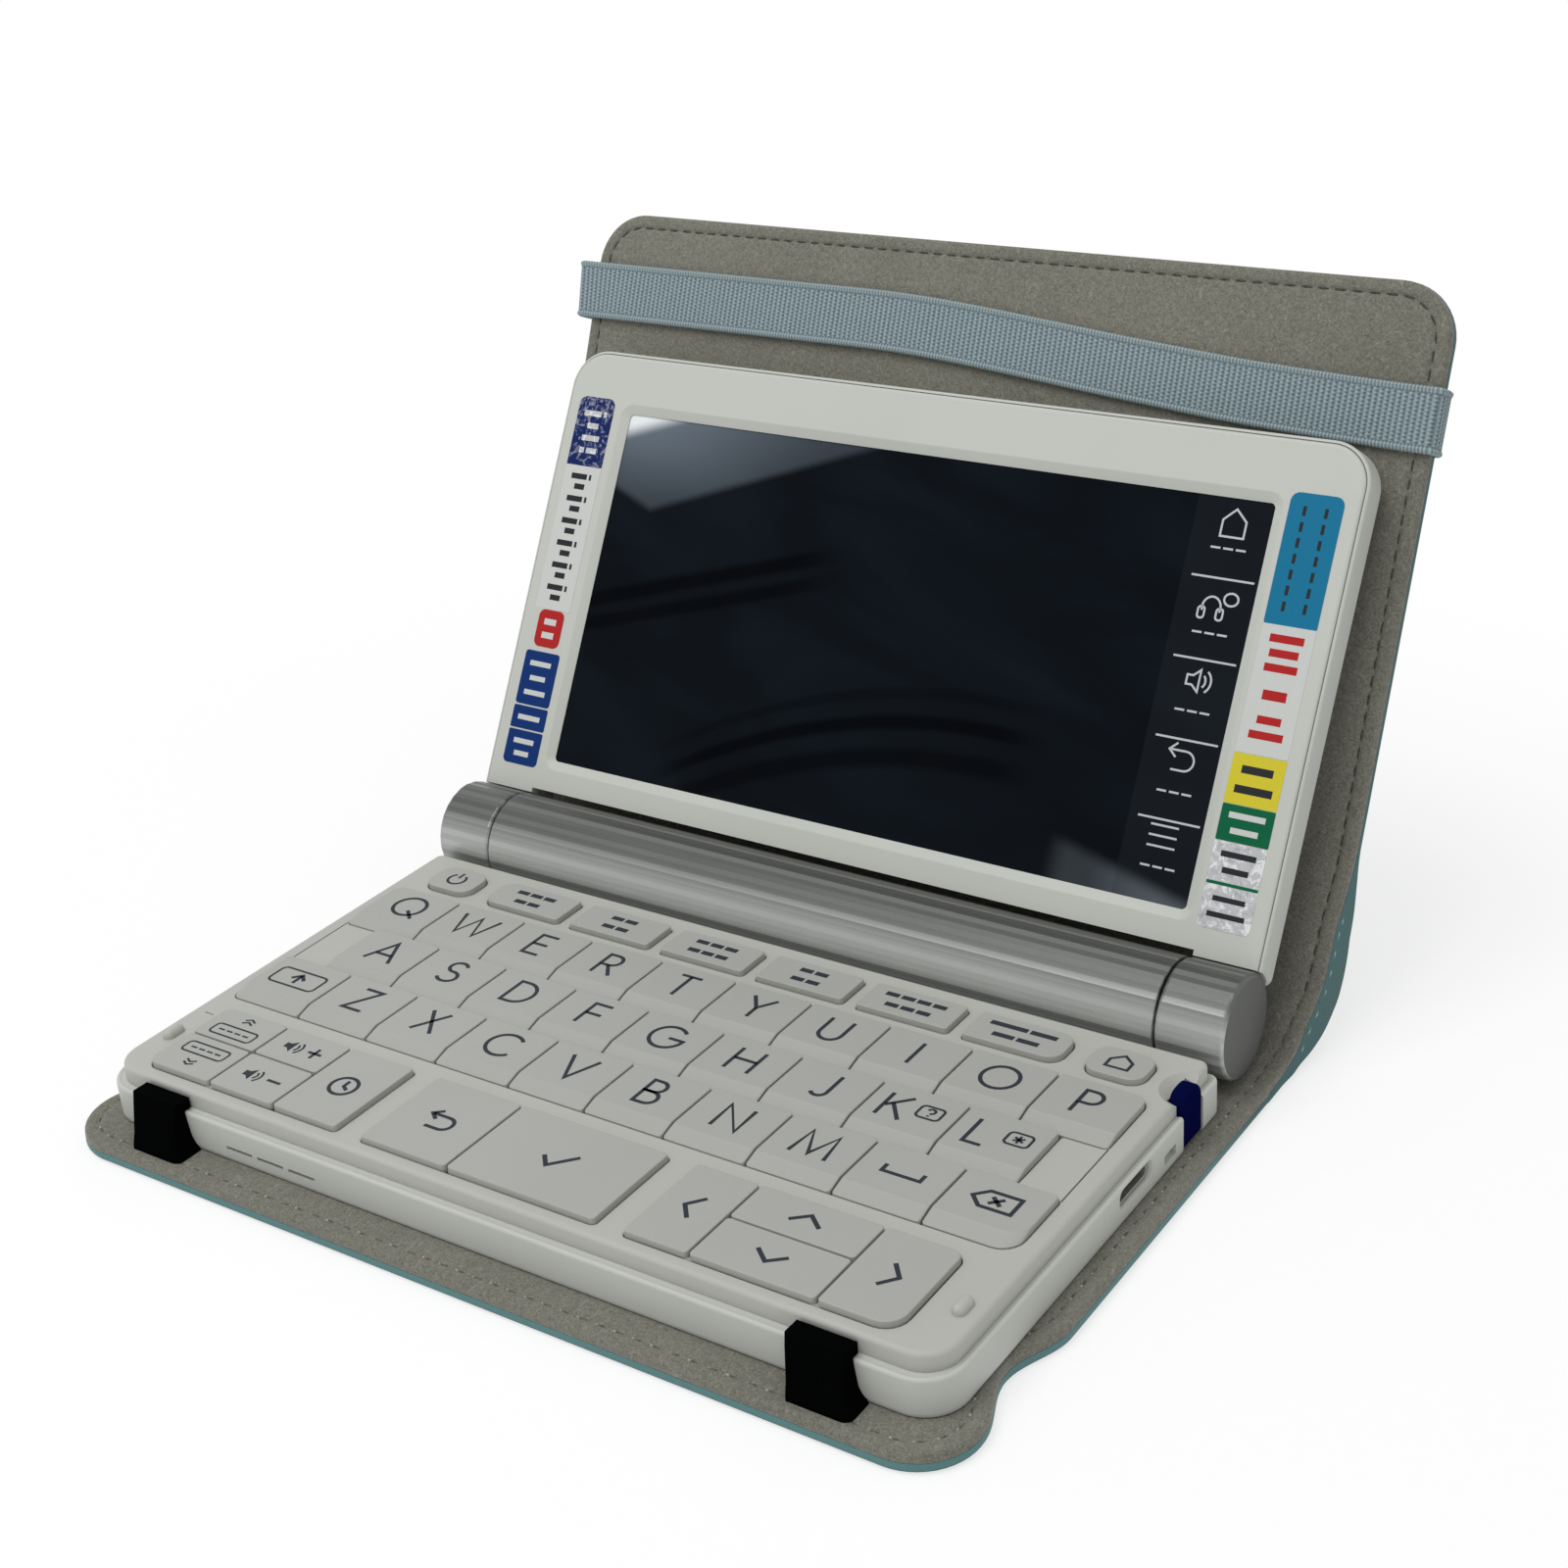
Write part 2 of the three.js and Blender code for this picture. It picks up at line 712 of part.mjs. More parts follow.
function makeLowerCase() {
  let tray = prism(caseOutline(0), 0, rimTop);
  tray = tray.subtract(prism(caseOutline(rimLipWidth), ledge, rimTop + overrun));
  tray = tray.subtract(prism(caseOutline(rimWall), floorThickness, rimTop + overrun));
  const postPlaces = [
    [-halfDevice + boardMargin * 2, boardRear - boardMargin * 2],
    [-halfDevice + boardMargin * 2, baseCornerRadius],
    [0, baseCornerRadius],
    [0, boardRear / 2],
    [halfDevice - boardMargin * 2, baseCornerRadius],
    [halfDevice - boardMargin * 2, boardRear / 2],
  ];
  postPlaces.forEach(([x, y]) => {
    tray = tray.add(rodZ(postRadius, x, y, 0, boardUnder - seatGap, pinSides));
  });
  tray = tray.add(stylusHousing());
  tray = tray.add(block(
    [-halfBarrel + endCapGap, baseDepth - rimWall, 0],
    [halfBarrel - endCapGap, barrelFromFront + cradleBehind, cradleHeight],
  ));
  const hollow = barrelRadius + cradleGap;
  tray = tray.subtract(rodX(
    hollow,
    -halfDevice - overrun,
    halfDevice + overrun,
    barrelFromFront,
    barrelHeight,
    barrelSides,
  ));
  tray = tray.subtract(stylusChannel()).subtract(stylusPocket());
  const usbSide = usbWidth / 2 + usbGap;
  tray = tray.subtract(block(
    [halfDevice - rimWall - overrun, usbFromFront - usbSide, boardUnder - usbHeight - usbGap],
    [halfDevice + overrun, usbFromFront + usbSide, boardUnder + usbGap],
  ));
  tray = tray.subtract(block(
    [halfDevice - recessDepth, recessFromFront - recessWidth / 2, recessLevel - recessHeight / 2],
    [halfDevice + overrun, recessFromFront + recessWidth / 2, recessLevel + recessHeight / 2],
  ));
  for (let place = 0; place < slitCount; place += 1) {
    const step = place + 0.5 - slitCount / 2;
    const middle = speakerFromLeft - halfDevice + step * (slitLength + slitGap);
    tray = tray.subtract(block(
      [middle - slitLength / 2, -overrun, slitLevel - slitHeight / 2],
      [middle + slitLength / 2, rimWall + overrun, slitLevel + slitHeight / 2],
    ));
  }
  return meshOf('lower_case', tray, white);
}

// Circuit board with its rubber key sheet, charging socket and speaker
function makeBoard() {
  const outline = roundedOutline(
    -halfDevice + boardMargin,
    boardMargin,
    halfDevice - boardMargin,
    boardRear,
    [baseCornerRadius - boardMargin, baseCornerRadius - boardMargin, postRadius, postRadius],
    roundSteps,
  );
  let plate = prism(outline, boardUnder, boardTop);
  const room = stylusCapWidth / 2 + stylusGap * 2;
  plate = plate.subtract(block(
    [halfDevice - stylusCapDepth - overrun * 2, stylusFromFront - room, 0],
    [halfDevice, stylusFromFront + room, baseHeight],
  ));
  const usbFace = halfDevice - usbGap;
  const usbBack = usbFace - usbDepth;
  const usbLow = boardUnder - usbHeight;
  plate = plate.add(block(
    [usbBack, usbFromFront - usbWidth / 2, usbLow],
    [usbFace, usbFromFront + usbWidth / 2, boardUnder + seatGap],
  ));
  plate = plate.subtract(block(
    [usbBack + usbWall, usbFromFront - usbWidth / 2 + usbWall, usbLow + usbWall],
    [usbFace + overrun, usbFromFront + usbWidth / 2 - usbWall, boardUnder - usbWall / 2],
  ));
  plate = plate.add(rodZ(
    speakerRadius,
    speakerFromLeft - halfDevice,
    speakerFromFront,
    floorThickness + speakerGap,
    boardUnder + boardThickness / 2,
    barrelSides / 2,
  ));
  return meshOf('main_board', plate, board);
}

// Stylus: flat head in its pocket and a round shaft with a tapered tip
function makeStylus() {
  const end = halfDevice - stylusLength;
  const profile = [
    [0, end],
    [stylusTipRadius, end],
    [stylusRadius, end + stylusTip],
    [stylusRadius, halfDevice - stylusCapDepth / 2],
    [0, halfDevice - stylusCapDepth / 2],
  ];
  const shaft = turned(profile, pinSides, 1);
  const pen = stylusHead().add(shaft.translate([0, stylusFromFront, stylusHeight]));
  return meshOf('stylus', pen, navy);
}

function stylusHead() {
  const half = stylusCapWidth / 2;
  const outline = roundedOutline(
    stylusFromFront - half,
    stylusCapLow,
    stylusFromFront + half,
    baseHeight + stylusCapRise,
    [stylusCapLow, stylusCapLow, stylusCapRound, stylusCapRound],
    roundSteps,
  );
  return sidePrism(outline, halfDevice - stylusCapDepth, halfDevice);
}

// Battery barrel, fixed to the lower case, with a door behind and hollow hinge pins
function barrelShell() {
  const args = [barrelFromFront, barrelHeight, barrelSides];
  const tube = rodX(barrelRadius, -halfBarrel, halfBarrel, ...args);
  const inner = halfBarrel - barrelEndWall;
  return tube.subtract(rodX(barrelBore, -inner, inner, ...args));
}

function doorCutter(gap) {
  return block(
    [-doorLength / 2 + gap, barrelFromFront + doorStart + gap, 0],
    [doorLength / 2 - gap, barrelFromFront + barrelRadius + overrun, barrelHeight + barrelRadius],
  );
}

function makeBarrel() {
  let barrel = barrelShell().subtract(doorCutter(0));
  [-1, 1].forEach((side) => {
    const root = side * (halfBarrel - barrelEndWall);
    const tip = side * (halfBarrel + endCapGap + pinReach);
    const start = Math.min(root, tip);
    const end = Math.max(root, tip);
    const place = [barrelFromFront, barrelHeight, pinSides];
    barrel = barrel.add(rodX(pinRadius, start, end, ...place));
    barrel = barrel.subtract(rodX(pinBore, start - overrun, end + overrun, ...place));
  });
  return meshOf('battery_barrel', barrel, silver);
}

function makeDoor() {
  return meshOf('battery_door', barrelShell().intersect(doorCutter(doorGap)), silver);
}

function makeCells() {
  const place = [barrelFromFront, barrelHeight];
  const total = cellLength * 2 + cellNubHeight;
  const start = -total / 2;
  let cells = rodX(cellRadius, start, start + cellLength, ...place, barrelSides / 2);
  const second = start + cellLength + cellNubHeight;
  cells = cells.add(rodX(cellRadius, second, second + cellLength, ...place, barrelSides / 2));
  const joined = second + cellLength + cellNubHeight;
  cells = cells.add(rodX(cellNubRadius, start + cellLength / 2, joined, ...place, pinSides));
  return meshOf('battery_pair', cells, cell);
}

// Hinge cap that rides with the lid, bored for the barrel's pin
function makeHingeCap(name, side) {
  const inner = halfBarrel + endCapGap;
  const profile = [
    [0, inner + pinReach + endCapGap * 2],
    [pinBoreRadius, inner + pinReach + endCapGap * 2],
    [pinBoreRadius, inner],
    [barrelRadius, inner],
    [barrelRadius, halfDevice - endCapBevel],
    [barrelRadius - endCapBevel, halfDevice],
    [0, halfDevice],
  ];
  return meshOf(name, turned(profile, barrelSides, side), silver);
}

// Lid outline in its own plane: X across, Y from the hinge axis to the free edge
function lidOutline(inset) {
  return roundedOutline(
    -halfDevice + inset,
    lidFoot + inset,
    halfDevice - inset,
    lidLength - inset,
    [
      lidFootRadius,
      lidFootRadius,
      lidCornerRadius - inset,
      lidCornerRadius - inset,
    ],
    roundSteps * 2,
  );
}

// Room for the barrel and hinge caps at the lid's foot
function footRoom() {
  const notchSide = halfBarrel + endCapGap;
  const notch = block(
    [-notchSide, 0, lidRear - overrun],
    [notchSide, lidNotch, lidFront + overrun],
  );
  const round = rodX(
    barrelRadius + endCapGap,
    -halfDevice - overrun,
    halfDevice + overrun,
    0,
    0,
    barrelSides,
  );
  return notch.add(round);
}

function makeLidBack() {
  const front = lidFront - lidGap * 2;
  let shell = loft([
    { z: lidRear, points: lidOutline(lidEdgeRound * 2) },
    { z: lidRear + lidEdgeRound * 2, points: lidOutline(0) },
    { z: front - lidEdgeRound / 2, points: lidOutline(0) },
    { z: front, points: lidOutline(lidEdgeRound / 2) },
  ]);
  const shelf = lidFront - bezelThickness - lidGap;
  const upper = prism(lidOutline(lidSeam), shelf, lidFront + overrun);
  const lower = prism(cavityOutline(), lidRear + lidBack, lidFront + overrun);
  shell = shell.subtract(upper).subtract(lower).subtract(footRoom());
  return meshOf('lid_back_cover', shell, white);
}

function cavityOutline() {
  return roundedOutline(
    -halfDevice + lidWall,
    lidNotch + lidWall,
    halfDevice - lidWall,
    lidLength - lidWall,
    evenRadii(lidCornerRadius - lidWall),
    roundSteps,
  );
}

function screenOutline(inset) {
  return roundedOutline(
    -screenWidth / 2 + inset,
    screenBottom + inset,
    screenWidth / 2 - inset,
    screenBottom + screenHeight - inset,
    evenRadii(screenCorner),
    roundSteps,
  );
}

function makeBezel() {
  const low = lidFront - bezelThickness;
  let frame = loft([
    { z: low, points: lidOutline(lidSeam + lidGap) },
    { z: lidFront - lidEdgeRound / 2, points: lidOutline(lidSeam + lidGap) },
    { z: lidFront, points: lidOutline(lidSeam + lidGap + lidEdgeRound / 2) },
  ]);
  const pocket = screenOutline(-glassBorder - lidGap);
  frame = frame.subtract(prism(pocket, low - overrun, lidFront - bezelLip));
  const window = loft([
    { z: lidFront - bezelLip - overrun, points: screenOutline(0) },
    { z: lidFront - bezelLip, points: screenOutline(0) },
    { z: lidFront, points: screenOutline(-bezelSlope) },
    { z: lidFront + overrun, points: screenOutline(-bezelSlope) },
  ]);
  frame = frame.subtract(window).subtract(footRoom());
  return meshOf('lid_bezel', frame, white);
}

// Display module: glass plate in the bezel's pocket with the panel behind it
function makeDisplay() {
  const glassTop = lidFront - bezelLip - lidGap;
  const plate = prism(screenOutline(-glassBorder), glassTop - glassThickness, glassTop);
  const body = prism(
    screenOutline(0),
    lidRear + lidBack + lidGap,
    glassTop - glassThickness / 2,
  );
  return meshOf('display_module', plate.add(body), glass);
}

// Case panels
function waistPoints(side) {
  const points = [];
  for (let step = 0; step <= waistSteps; step += 1) {
    const along = -1 + (2 * step) / waistSteps;
    const dip = waistDepth * 0.5 * (1 + Math.cos(Math.PI * along));
    const y = -foldY + waistFromFront + along * waistHalfLength;
    points.push(new THREE.Vector2(side * (halfCase - dip), y));
  }
  return side < 0 ? points.reverse() : points;
}

function makeCaseBase() {
  const radii = [caseCornerRadius, caseCornerRadius, 0, 0];
  const corners = roundedOutline(-halfCase, -foldY, halfCase, foldY, radii, roundSteps * 2);
  const perCorner = roundSteps * 2 + 1;
  const frontLeft = corners.slice(0, perCorner);
  const frontRight = corners.slice(perCorner, perCorner * 2);
  const rear = [
    new THREE.Vector2(halfCase, foldY - foldGap),
    new THREE.Vector2(-halfCase, foldY - foldGap),
  ];
  const outline = [...frontLeft, ...frontRight, ...waistPoints(1), ...rear, ...waistPoints(-1)];
  return meshOf('case_base_panel', prism(tidyOutline(outline), 0, caseThickness), suede);
}

// Points of an outline without repeats, which square corners leave
function tidyOutline(points) {
  return points.filter((point, place) => {
    const next = points[(place + 1) % points.length];
    return point.distanceTo(next) > foldGap;
  });
}

// Upper fold of the spine, where the cover starts
function radians(degrees) {
  return (degrees * Math.PI) / 180;
}

// The spine reaches from the base panel to over the closed lid
const closedHeight = deviceBottom + barrelHeight - lidRear;
const spineHeight = closedHeight - caseThickness + closedRoom;
const coverFoldY = foldY + spineHeight * Math.cos(radians(spineAngle));
const coverFoldZ = caseThickness + spineHeight * Math.sin(radians(spineAngle));

// The cover leans past the open lid's upper rear edge with a named gap
function leaningAngle() {
  const lean = radians(lidAngle);
  const along = new THREE.Vector2(Math.cos(lean), Math.sin(lean));
  const rearward = new THREE.Vector2(along.y, -along.x);
  const axis = new THREE.Vector2(deviceFront + barrelFromFront, deviceBottom + barrelHeight);
  const edge = axis.addScaledVector(along, lidLength).addScaledVector(rearward, -lidRear);
  const reach = edge.sub(new THREE.Vector2(coverFoldY, coverFoldZ));
  return reach.angle() - Math.asin(coverGap / reach.length());
}

const coverLean = leaningAngle();

function makeSpine() {
  const along = new THREE.Vector2(Math.cos(radians(spineAngle)), Math.sin(radians(spineAngle)));
  const cover = new THREE.Vector2(Math.cos(coverLean), Math.sin(coverLean));
  const outward = new THREE.Vector2(cover.y, -cover.x);
  const lowFold = new THREE.Vector2(foldY, caseThickness);
  const highFold = new THREE.Vector2(coverFoldY, coverFoldZ);
  const lowInner = lowFold.clone().addScaledVector(along, foldGap * 2);
  const lowOuter = new THREE.Vector2(foldY + foldGap, 0);
  const highInner = highFold.clone().addScaledVector(cover, -foldGap);
  const highOuter = highInner.clone().addScaledVector(outward, caseThickness);
  const corner = new THREE.Vector2(
    lowOuter.x + (highOuter.x - lowOuter.x) * bulgeCornerShares[0],
    lowOuter.y + (highOuter.y - lowOuter.y) * bulgeCornerShares[1],
  );
  const curve = new THREE.QuadraticBezierCurve(lowOuter, corner, highOuter);
  const outline = [...curve.getPoints(bulgeSteps), highInner, lowInner];
  return meshOf('case_spine', sidePrism(outline, -halfCase, halfCase), leather);
}

function makeCover() {
  const radii = [0, 0, caseCornerRadius, caseCornerRadius];
  const outline = roundedOutline(
    -halfCase,
    foldGap,
    halfCase,
    caseCoverLength,
    radii,
    roundSteps * 2,
  );
  return meshOf('case_back_panel', prism(tidyOutline(outline), -caseThickness, 0), suede);
}

// Height of the elastic band's middle line along the cover, with its gentle fall
function bandMiddle(x) {
  const share = THREE.MathUtils.clamp((x - bandSlopeStart) / bandSlopeLength, 0, 1);
  const smooth = share * share * (3 - 2 * share);
  return caseCoverLength - bandFromEdge - bandDrop * smooth;
}

// Elastic band: across the lining, round both edges and tucked flat behind
function makeBand() {
  const leftIn = -halfCase - bandLooseLeft;
  const rightIn = halfCase + bandGap * 2;
  const top = bandGap;
  const low = -caseThickness - bandGap;
  const tailLeft = -halfCase + bandTail;
  const tailRight = halfCase - bandTail;
  const outer = [];
  const inner = [];
  const innerLeft = leftIn + bandThickness;
  const innerWidth = rightIn - bandThickness - innerLeft;
  for (let step = 0; step <= bandSteps; step += 1) {
    inner.push(new THREE.Vector2(innerLeft + innerWidth * (step / bandSteps), top));
  }
  for (let step = bandSteps; step >= 0; step -= 1) {
    const x = leftIn + (rightIn - leftIn) * (step / bandSteps);
    outer.push(new THREE.Vector2(x, top + bandThickness));
  }
  const leftSide = [
    new THREE.Vector2(leftIn - bandThickness, top),
    new THREE.Vector2(leftIn - bandThickness, low),
    new THREE.Vector2(leftIn, low - bandThickness),
    new THREE.Vector2(tailLeft, low - bandThickness),
    new THREE.Vector2(tailLeft, low),
    new THREE.Vector2(leftIn + bandThickness, low),
    new THREE.Vector2(leftIn, low + bandThickness / 2),
    new THREE.Vector2(leftIn, top - bandThickness / 2),
  ];
  const rightSide = [
    new THREE.Vector2(rightIn, top - bandThickness / 2),
    new THREE.Vector2(rightIn, low + bandThickness / 2),
    new THREE.Vector2(rightIn - bandGap, low),
    new THREE.Vector2(tailRight, low),
    new THREE.Vector2(tailRight, low - bandThickness),
    new THREE.Vector2(rightIn, low - bandThickness),
    new THREE.Vector2(rightIn + bandThickness, low),
    new THREE.Vector2(rightIn + bandThickness, top),
  ];
  const outline = [...inner, ...rightSide, ...outer, ...leftSide];
  const settings = { depth: bandWidth, bevelEnabled: false };
  const geometry = new THREE.ExtrudeGeometry(new THREE.Shape(outline), settings);
  const turn = new THREE.Matrix4().makeBasis(
    new THREE.Vector3(1, 0, 0),
    new THREE.Vector3(0, 0, 1),
    new THREE.Vector3(0, -1, 0),
  );
  geometry.applyMatrix4(turn);
  const place = geometry.attributes.position;
  for (let i = 0; i < place.count; i += 1) {
    place.setY(i, place.getY(i) + bandWidth / 2 + bandMiddle(place.getX(i)));
  }
  return meshOf('elastic_band', solidOf(geometry), elastic);
}

// Claw clip over the body's front rim, with a flared foot on the case
function clipRing(halfWidth, depth, z) {
  return {
    z,
    points: [
      new THREE.Vector2(-halfWidth, -depth),
      new THREE.Vector2(halfWidth, -depth),
      new THREE.Vector2(halfWidth, -clipGap),
      new THREE.Vector2(-halfWidth, -clipGap),
    ],
  };
}

function makeClip(name, side) {
  const hookLow = rimTop + clipGap;
  const hookTop = hookLow + clipHookThickness;
  let clip = loft([
    clipRing(clipFootHalfWidth, clipFootDepth, seatGap - deviceGap),
    clipRing(clipHalfWidth + clipRound / 2, clipFootDepth - clipRound, clipFootHeight),
    clipRing(clipHalfWidth, clipTopDepth + clipRound / 2, hookLow),
    clipRing(clipHalfWidth, clipTopDepth, hookTop - clipRound),
    clipRing(clipHalfWidth, clipTopDepth - clipRound, hookTop),
  ]);
  clip = clip.add(block(
    [-clipHalfWidth, -clipRound, hookLow],
    [clipHalfWidth, clipHook, hookTop],
  ));
  const mesh = meshOf(name, clip, black);
  mesh.position.set(side * (halfDevice - clipFromSide), 0, 0);
  return mesh;
}

// Assembly
const part = new THREE.Group();

const body = new THREE.Group();
body.position.set(0, deviceFront, deviceBottom);
body.add(makeLowerCase(), makeDeck(), makeBoard(), makeStylus());
body.add(makeBarrel(), makeDoor(), makeCells());
body.add(makeClip('left_clip', -1), makeClip('right_clip', 1));
body.add(...makeKeys());

const lid = new THREE.Group();
lid.position.set(0, deviceFront + barrelFromFront, deviceBottom + barrelHeight);
lid.rotation.x = radians(lidAngle);
lid.add(makeLidBack(), makeBezel(), makeDisplay());
lid.add(makeHingeCap('left_hinge_cap', -1), makeHingeCap('right_hinge_cap', 1));

const cover = new THREE.Group();
cover.position.set(0, coverFoldY, coverFoldZ);
cover.rotation.x = coverLean;
cover.add(makeCover(), makeBand());

part.add(body, lid, makeCaseBase(), makeSpine(), cover);

export default part;
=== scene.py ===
# %% [markdown]
# # An electronic dictionary on its folding case
#
# The object is a small clamshell machine: a keyboard base with a battery barrel across its back and a
# screen lid that turns on the barrel. It lies on a padded case whose cover stands up behind the lid. This
# lesson builds the visible surfaces over the CAD model, piece by piece, and sets up a plain studio shot.

import bmesh
import bpy
import numpy as np
from mathutils import Matrix, Vector


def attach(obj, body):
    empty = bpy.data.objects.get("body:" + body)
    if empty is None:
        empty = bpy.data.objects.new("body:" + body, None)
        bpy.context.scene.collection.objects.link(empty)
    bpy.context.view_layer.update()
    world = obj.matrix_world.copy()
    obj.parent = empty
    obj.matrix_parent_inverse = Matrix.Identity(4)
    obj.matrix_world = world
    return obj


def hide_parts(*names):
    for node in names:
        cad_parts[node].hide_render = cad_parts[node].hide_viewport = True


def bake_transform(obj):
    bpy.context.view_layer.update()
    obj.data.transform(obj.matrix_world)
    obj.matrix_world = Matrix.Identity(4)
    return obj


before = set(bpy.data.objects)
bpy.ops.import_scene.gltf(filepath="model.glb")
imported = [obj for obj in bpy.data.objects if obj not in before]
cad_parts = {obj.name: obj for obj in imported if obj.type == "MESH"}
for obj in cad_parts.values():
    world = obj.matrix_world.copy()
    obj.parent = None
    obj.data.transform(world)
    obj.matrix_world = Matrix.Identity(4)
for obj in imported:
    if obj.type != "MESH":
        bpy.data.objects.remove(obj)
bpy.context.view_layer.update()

# %% [markdown]
# ## Frames
# Lengths are written in millimetres in the frame of the part they belong to. Three frames are enough: the
# dictionary's body, lying level on the case; the lid, whose plane leans back; and the case's cover, which
# leans a little less. Each function takes an array of local points and gives points in metres of the whole
# model.


# %% Frames of the body, the lid and the cover
MILLI = 0.001
LID_LEAN = np.radians(60.3)
COVER_LEAN = np.radians(66.3001)
BODY_FRONT, BODY_FOOT = -44.6, 3.1
HINGE_Y, HINGE_Z = 42.9, 12.48
FOLD_Y, FOLD_Z = 65.0139, 16.8001


def as_points(points):
    """Array of points, whatever it is given as."""
    return np.asarray(points, dtype=float).reshape(-1, 3)


def world_place(points):
    """Model millimetres to metres."""
    return as_points(points) * MILLI


def body_place(points):
    """Body frame: x to the right, y from the base's front edge to the back, z up from its underside."""
    return (as_points(points) + [0.0, BODY_FRONT, BODY_FOOT]) * MILLI


def leaning(points, lean, foot_y, foot_z):
    """Points (x, a, b) of a leaning plane: a runs up it and b out of it.

    y = y0 + a cos l - b sin l and z = z0 + a sin l + b cos l."""
    x, along, out = as_points(points).T
    y = foot_y + along * np.cos(lean) - out * np.sin(lean)
    z = foot_z + along * np.sin(lean) + out * np.cos(lean)
    return np.stack([x, y, z], 1) * MILLI


def lid_place(points):
    """Lid frame: x, v up the lid from the hinge, w out of the screen."""
    return leaning(points, LID_LEAN, HINGE_Y, HINGE_Z)


def cover_place(points):
    """Cover frame: x, u up the cover from its fold, n out of the lining."""
    return leaning(points, COVER_LEAN, FOLD_Y, FOLD_Z)


print("the lid and the cover lean by", np.round(np.degrees([LID_LEAN, COVER_LEAN]), 1).tolist(), "degrees")

# %% [markdown]
# ## Outlines
# Nearly every moulding here is a rounded polygon carried through a profile. Moving a polygon's edge outward
# by g moves each corner along its bisector, and turns a corner of radius r into one of radius r + g (r - g
# where the corner is a dent). Outlines with the same corners always have the same number of points, so that
# rings at different insets can be joined point to point.


# %% Rounded outlines and rings
def outline(corners, radii, grow=0.0, steps=7):
    """Rounded closed outline, counter-clockwise: arcs of radius r + g between tangent edges, g = grow."""
    corners = np.asarray(corners, float)
    radii = np.broadcast_to(np.asarray(radii, float), len(corners))
    after = np.roll(corners, -1, 0) - corners
    after /= np.linalg.norm(after, axis=1)[:, None]
    before = np.roll(after, 1, 0)
    turn = np.arctan2(before[:, 0] * after[:, 1] - before[:, 1] * after[:, 0], (before * after).sum(1))
    side = np.sign(turn)
    normal_in = np.stack([before[:, 1], -before[:, 0]], 1)
    normal_out = np.stack([after[:, 1], -after[:, 0]], 1)
    bisector = (normal_in + normal_out) / (1 + (before * after).sum(1))[:, None]
    moved = corners + grow * bisector
    radius = np.maximum(radii + side * grow, 0.02)
    centre = moved - (side * radius)[:, None] * bisector
    start = np.arctan2(side * normal_in[:, 1], side * normal_in[:, 0])
    angle = start[:, None] + turn[:, None] * np.linspace(0, 1, steps + 1)
    arc = np.stack([np.cos(angle), np.sin(angle)], 2) * radius[:, None, None]
    return (centre[:, None] + arc).reshape(-1, 2)


def rectangle(left, low, right, high):
    """Corners of a box, counter-clockwise from its lower left."""
    return [(left, low), (right, low), (right, high), (left, high)]


def level(points, height):
    """Flat outline lifted to a height."""
    return np.column_stack([points, np.full(len(points), float(height))])


def upright(points, x):
    """Flat (y, z) outline stood up across the x axis."""
    return np.column_stack([np.full(len(points), float(x)), points])


def lying(corners, radii, grow, x):
    """Rounded (y, z) outline at a place x."""
    return upright(outline(corners, radii, grow), x)


def circle(y, z, radius, angle):
    """Points (y + r cos a, z + r sin a); the radius is one number or one for each angle."""
    return np.column_stack([y + radius * np.cos(angle), z + radius * np.sin(angle)])


def rings_of(corners, radii, profile, steps=7):
    """Rings of a profile of (grow, height) pairs carried along an outline."""
    return [level(outline(corners, radii, grow, steps), height) for grow, height in profile]


def quarter(grow, height, width, rise, steps=5):
    """Profile points of a quarter round: from (grow, height) in by width and up by rise."""
    angle = np.linspace(0, np.pi / 2, steps + 1)
    return [(grow - width * (1 - np.cos(a)), height + rise * np.sin(a)) for a in angle]


print("a box of 10 with corners of 2 has", len(outline(rectangle(0, 0, 10, 10), 2)), "outline points")

# %% [markdown]
# ## Meshes
# Surfaces are made as arrays of points and faces. A loft joins rings of equal length with quads and closes
# its two ends. Boolean cuts are worked out once and kept as plain meshes. Edges sharper than a limit stay
# crisp, and weighted normals keep the large flat faces flat beside their small round edges.


# %% Making, joining and cutting meshes
def new_object(name, points, faces):
    """Mesh object with its points already in metres of the model."""
    mesh = bpy.data.meshes.new(name)
    mesh.from_pydata(np.asarray(points).tolist(), [], faces)
    mesh.validate()
    made = bpy.data.objects.new(name, mesh)
    bpy.context.scene.collection.objects.link(made)
    return made


def ring_faces(rows, columns, closed=True, offset=0):
    """Quads between rows of points; index(i, j) = offset + i * columns + j."""
    i, j = np.meshgrid(np.arange(rows - 1), np.arange(columns if closed else columns - 1), indexing="ij")
    low = offset + i * columns + j
    low_next = offset + i * columns + (j + 1) % columns
    return np.stack([low, low_next, low_next + columns, low + columns], 2).reshape(-1, 4).tolist()


def loft(name, rings, place=world_place, caps=(True, True)):
    """Closed skin through rings of equal length, from the first (cap facing back) to the last."""
    count = len(rings[0])
    points = place(np.concatenate(rings))
    faces = ring_faces(len(rings), count)
    if caps[0]:
        faces.append(list(range(count))[::-1])
    if caps[1]:
        faces.append(list(range((len(rings) - 1) * count, len(rings) * count)))
    return new_object(name, points, faces)


def remove(made):
    """Take an object and its mesh out of the file."""
    mesh = made.data
    bpy.data.objects.remove(made)
    if mesh is not None and mesh.users == 0:
        bpy.data.meshes.remove(mesh)


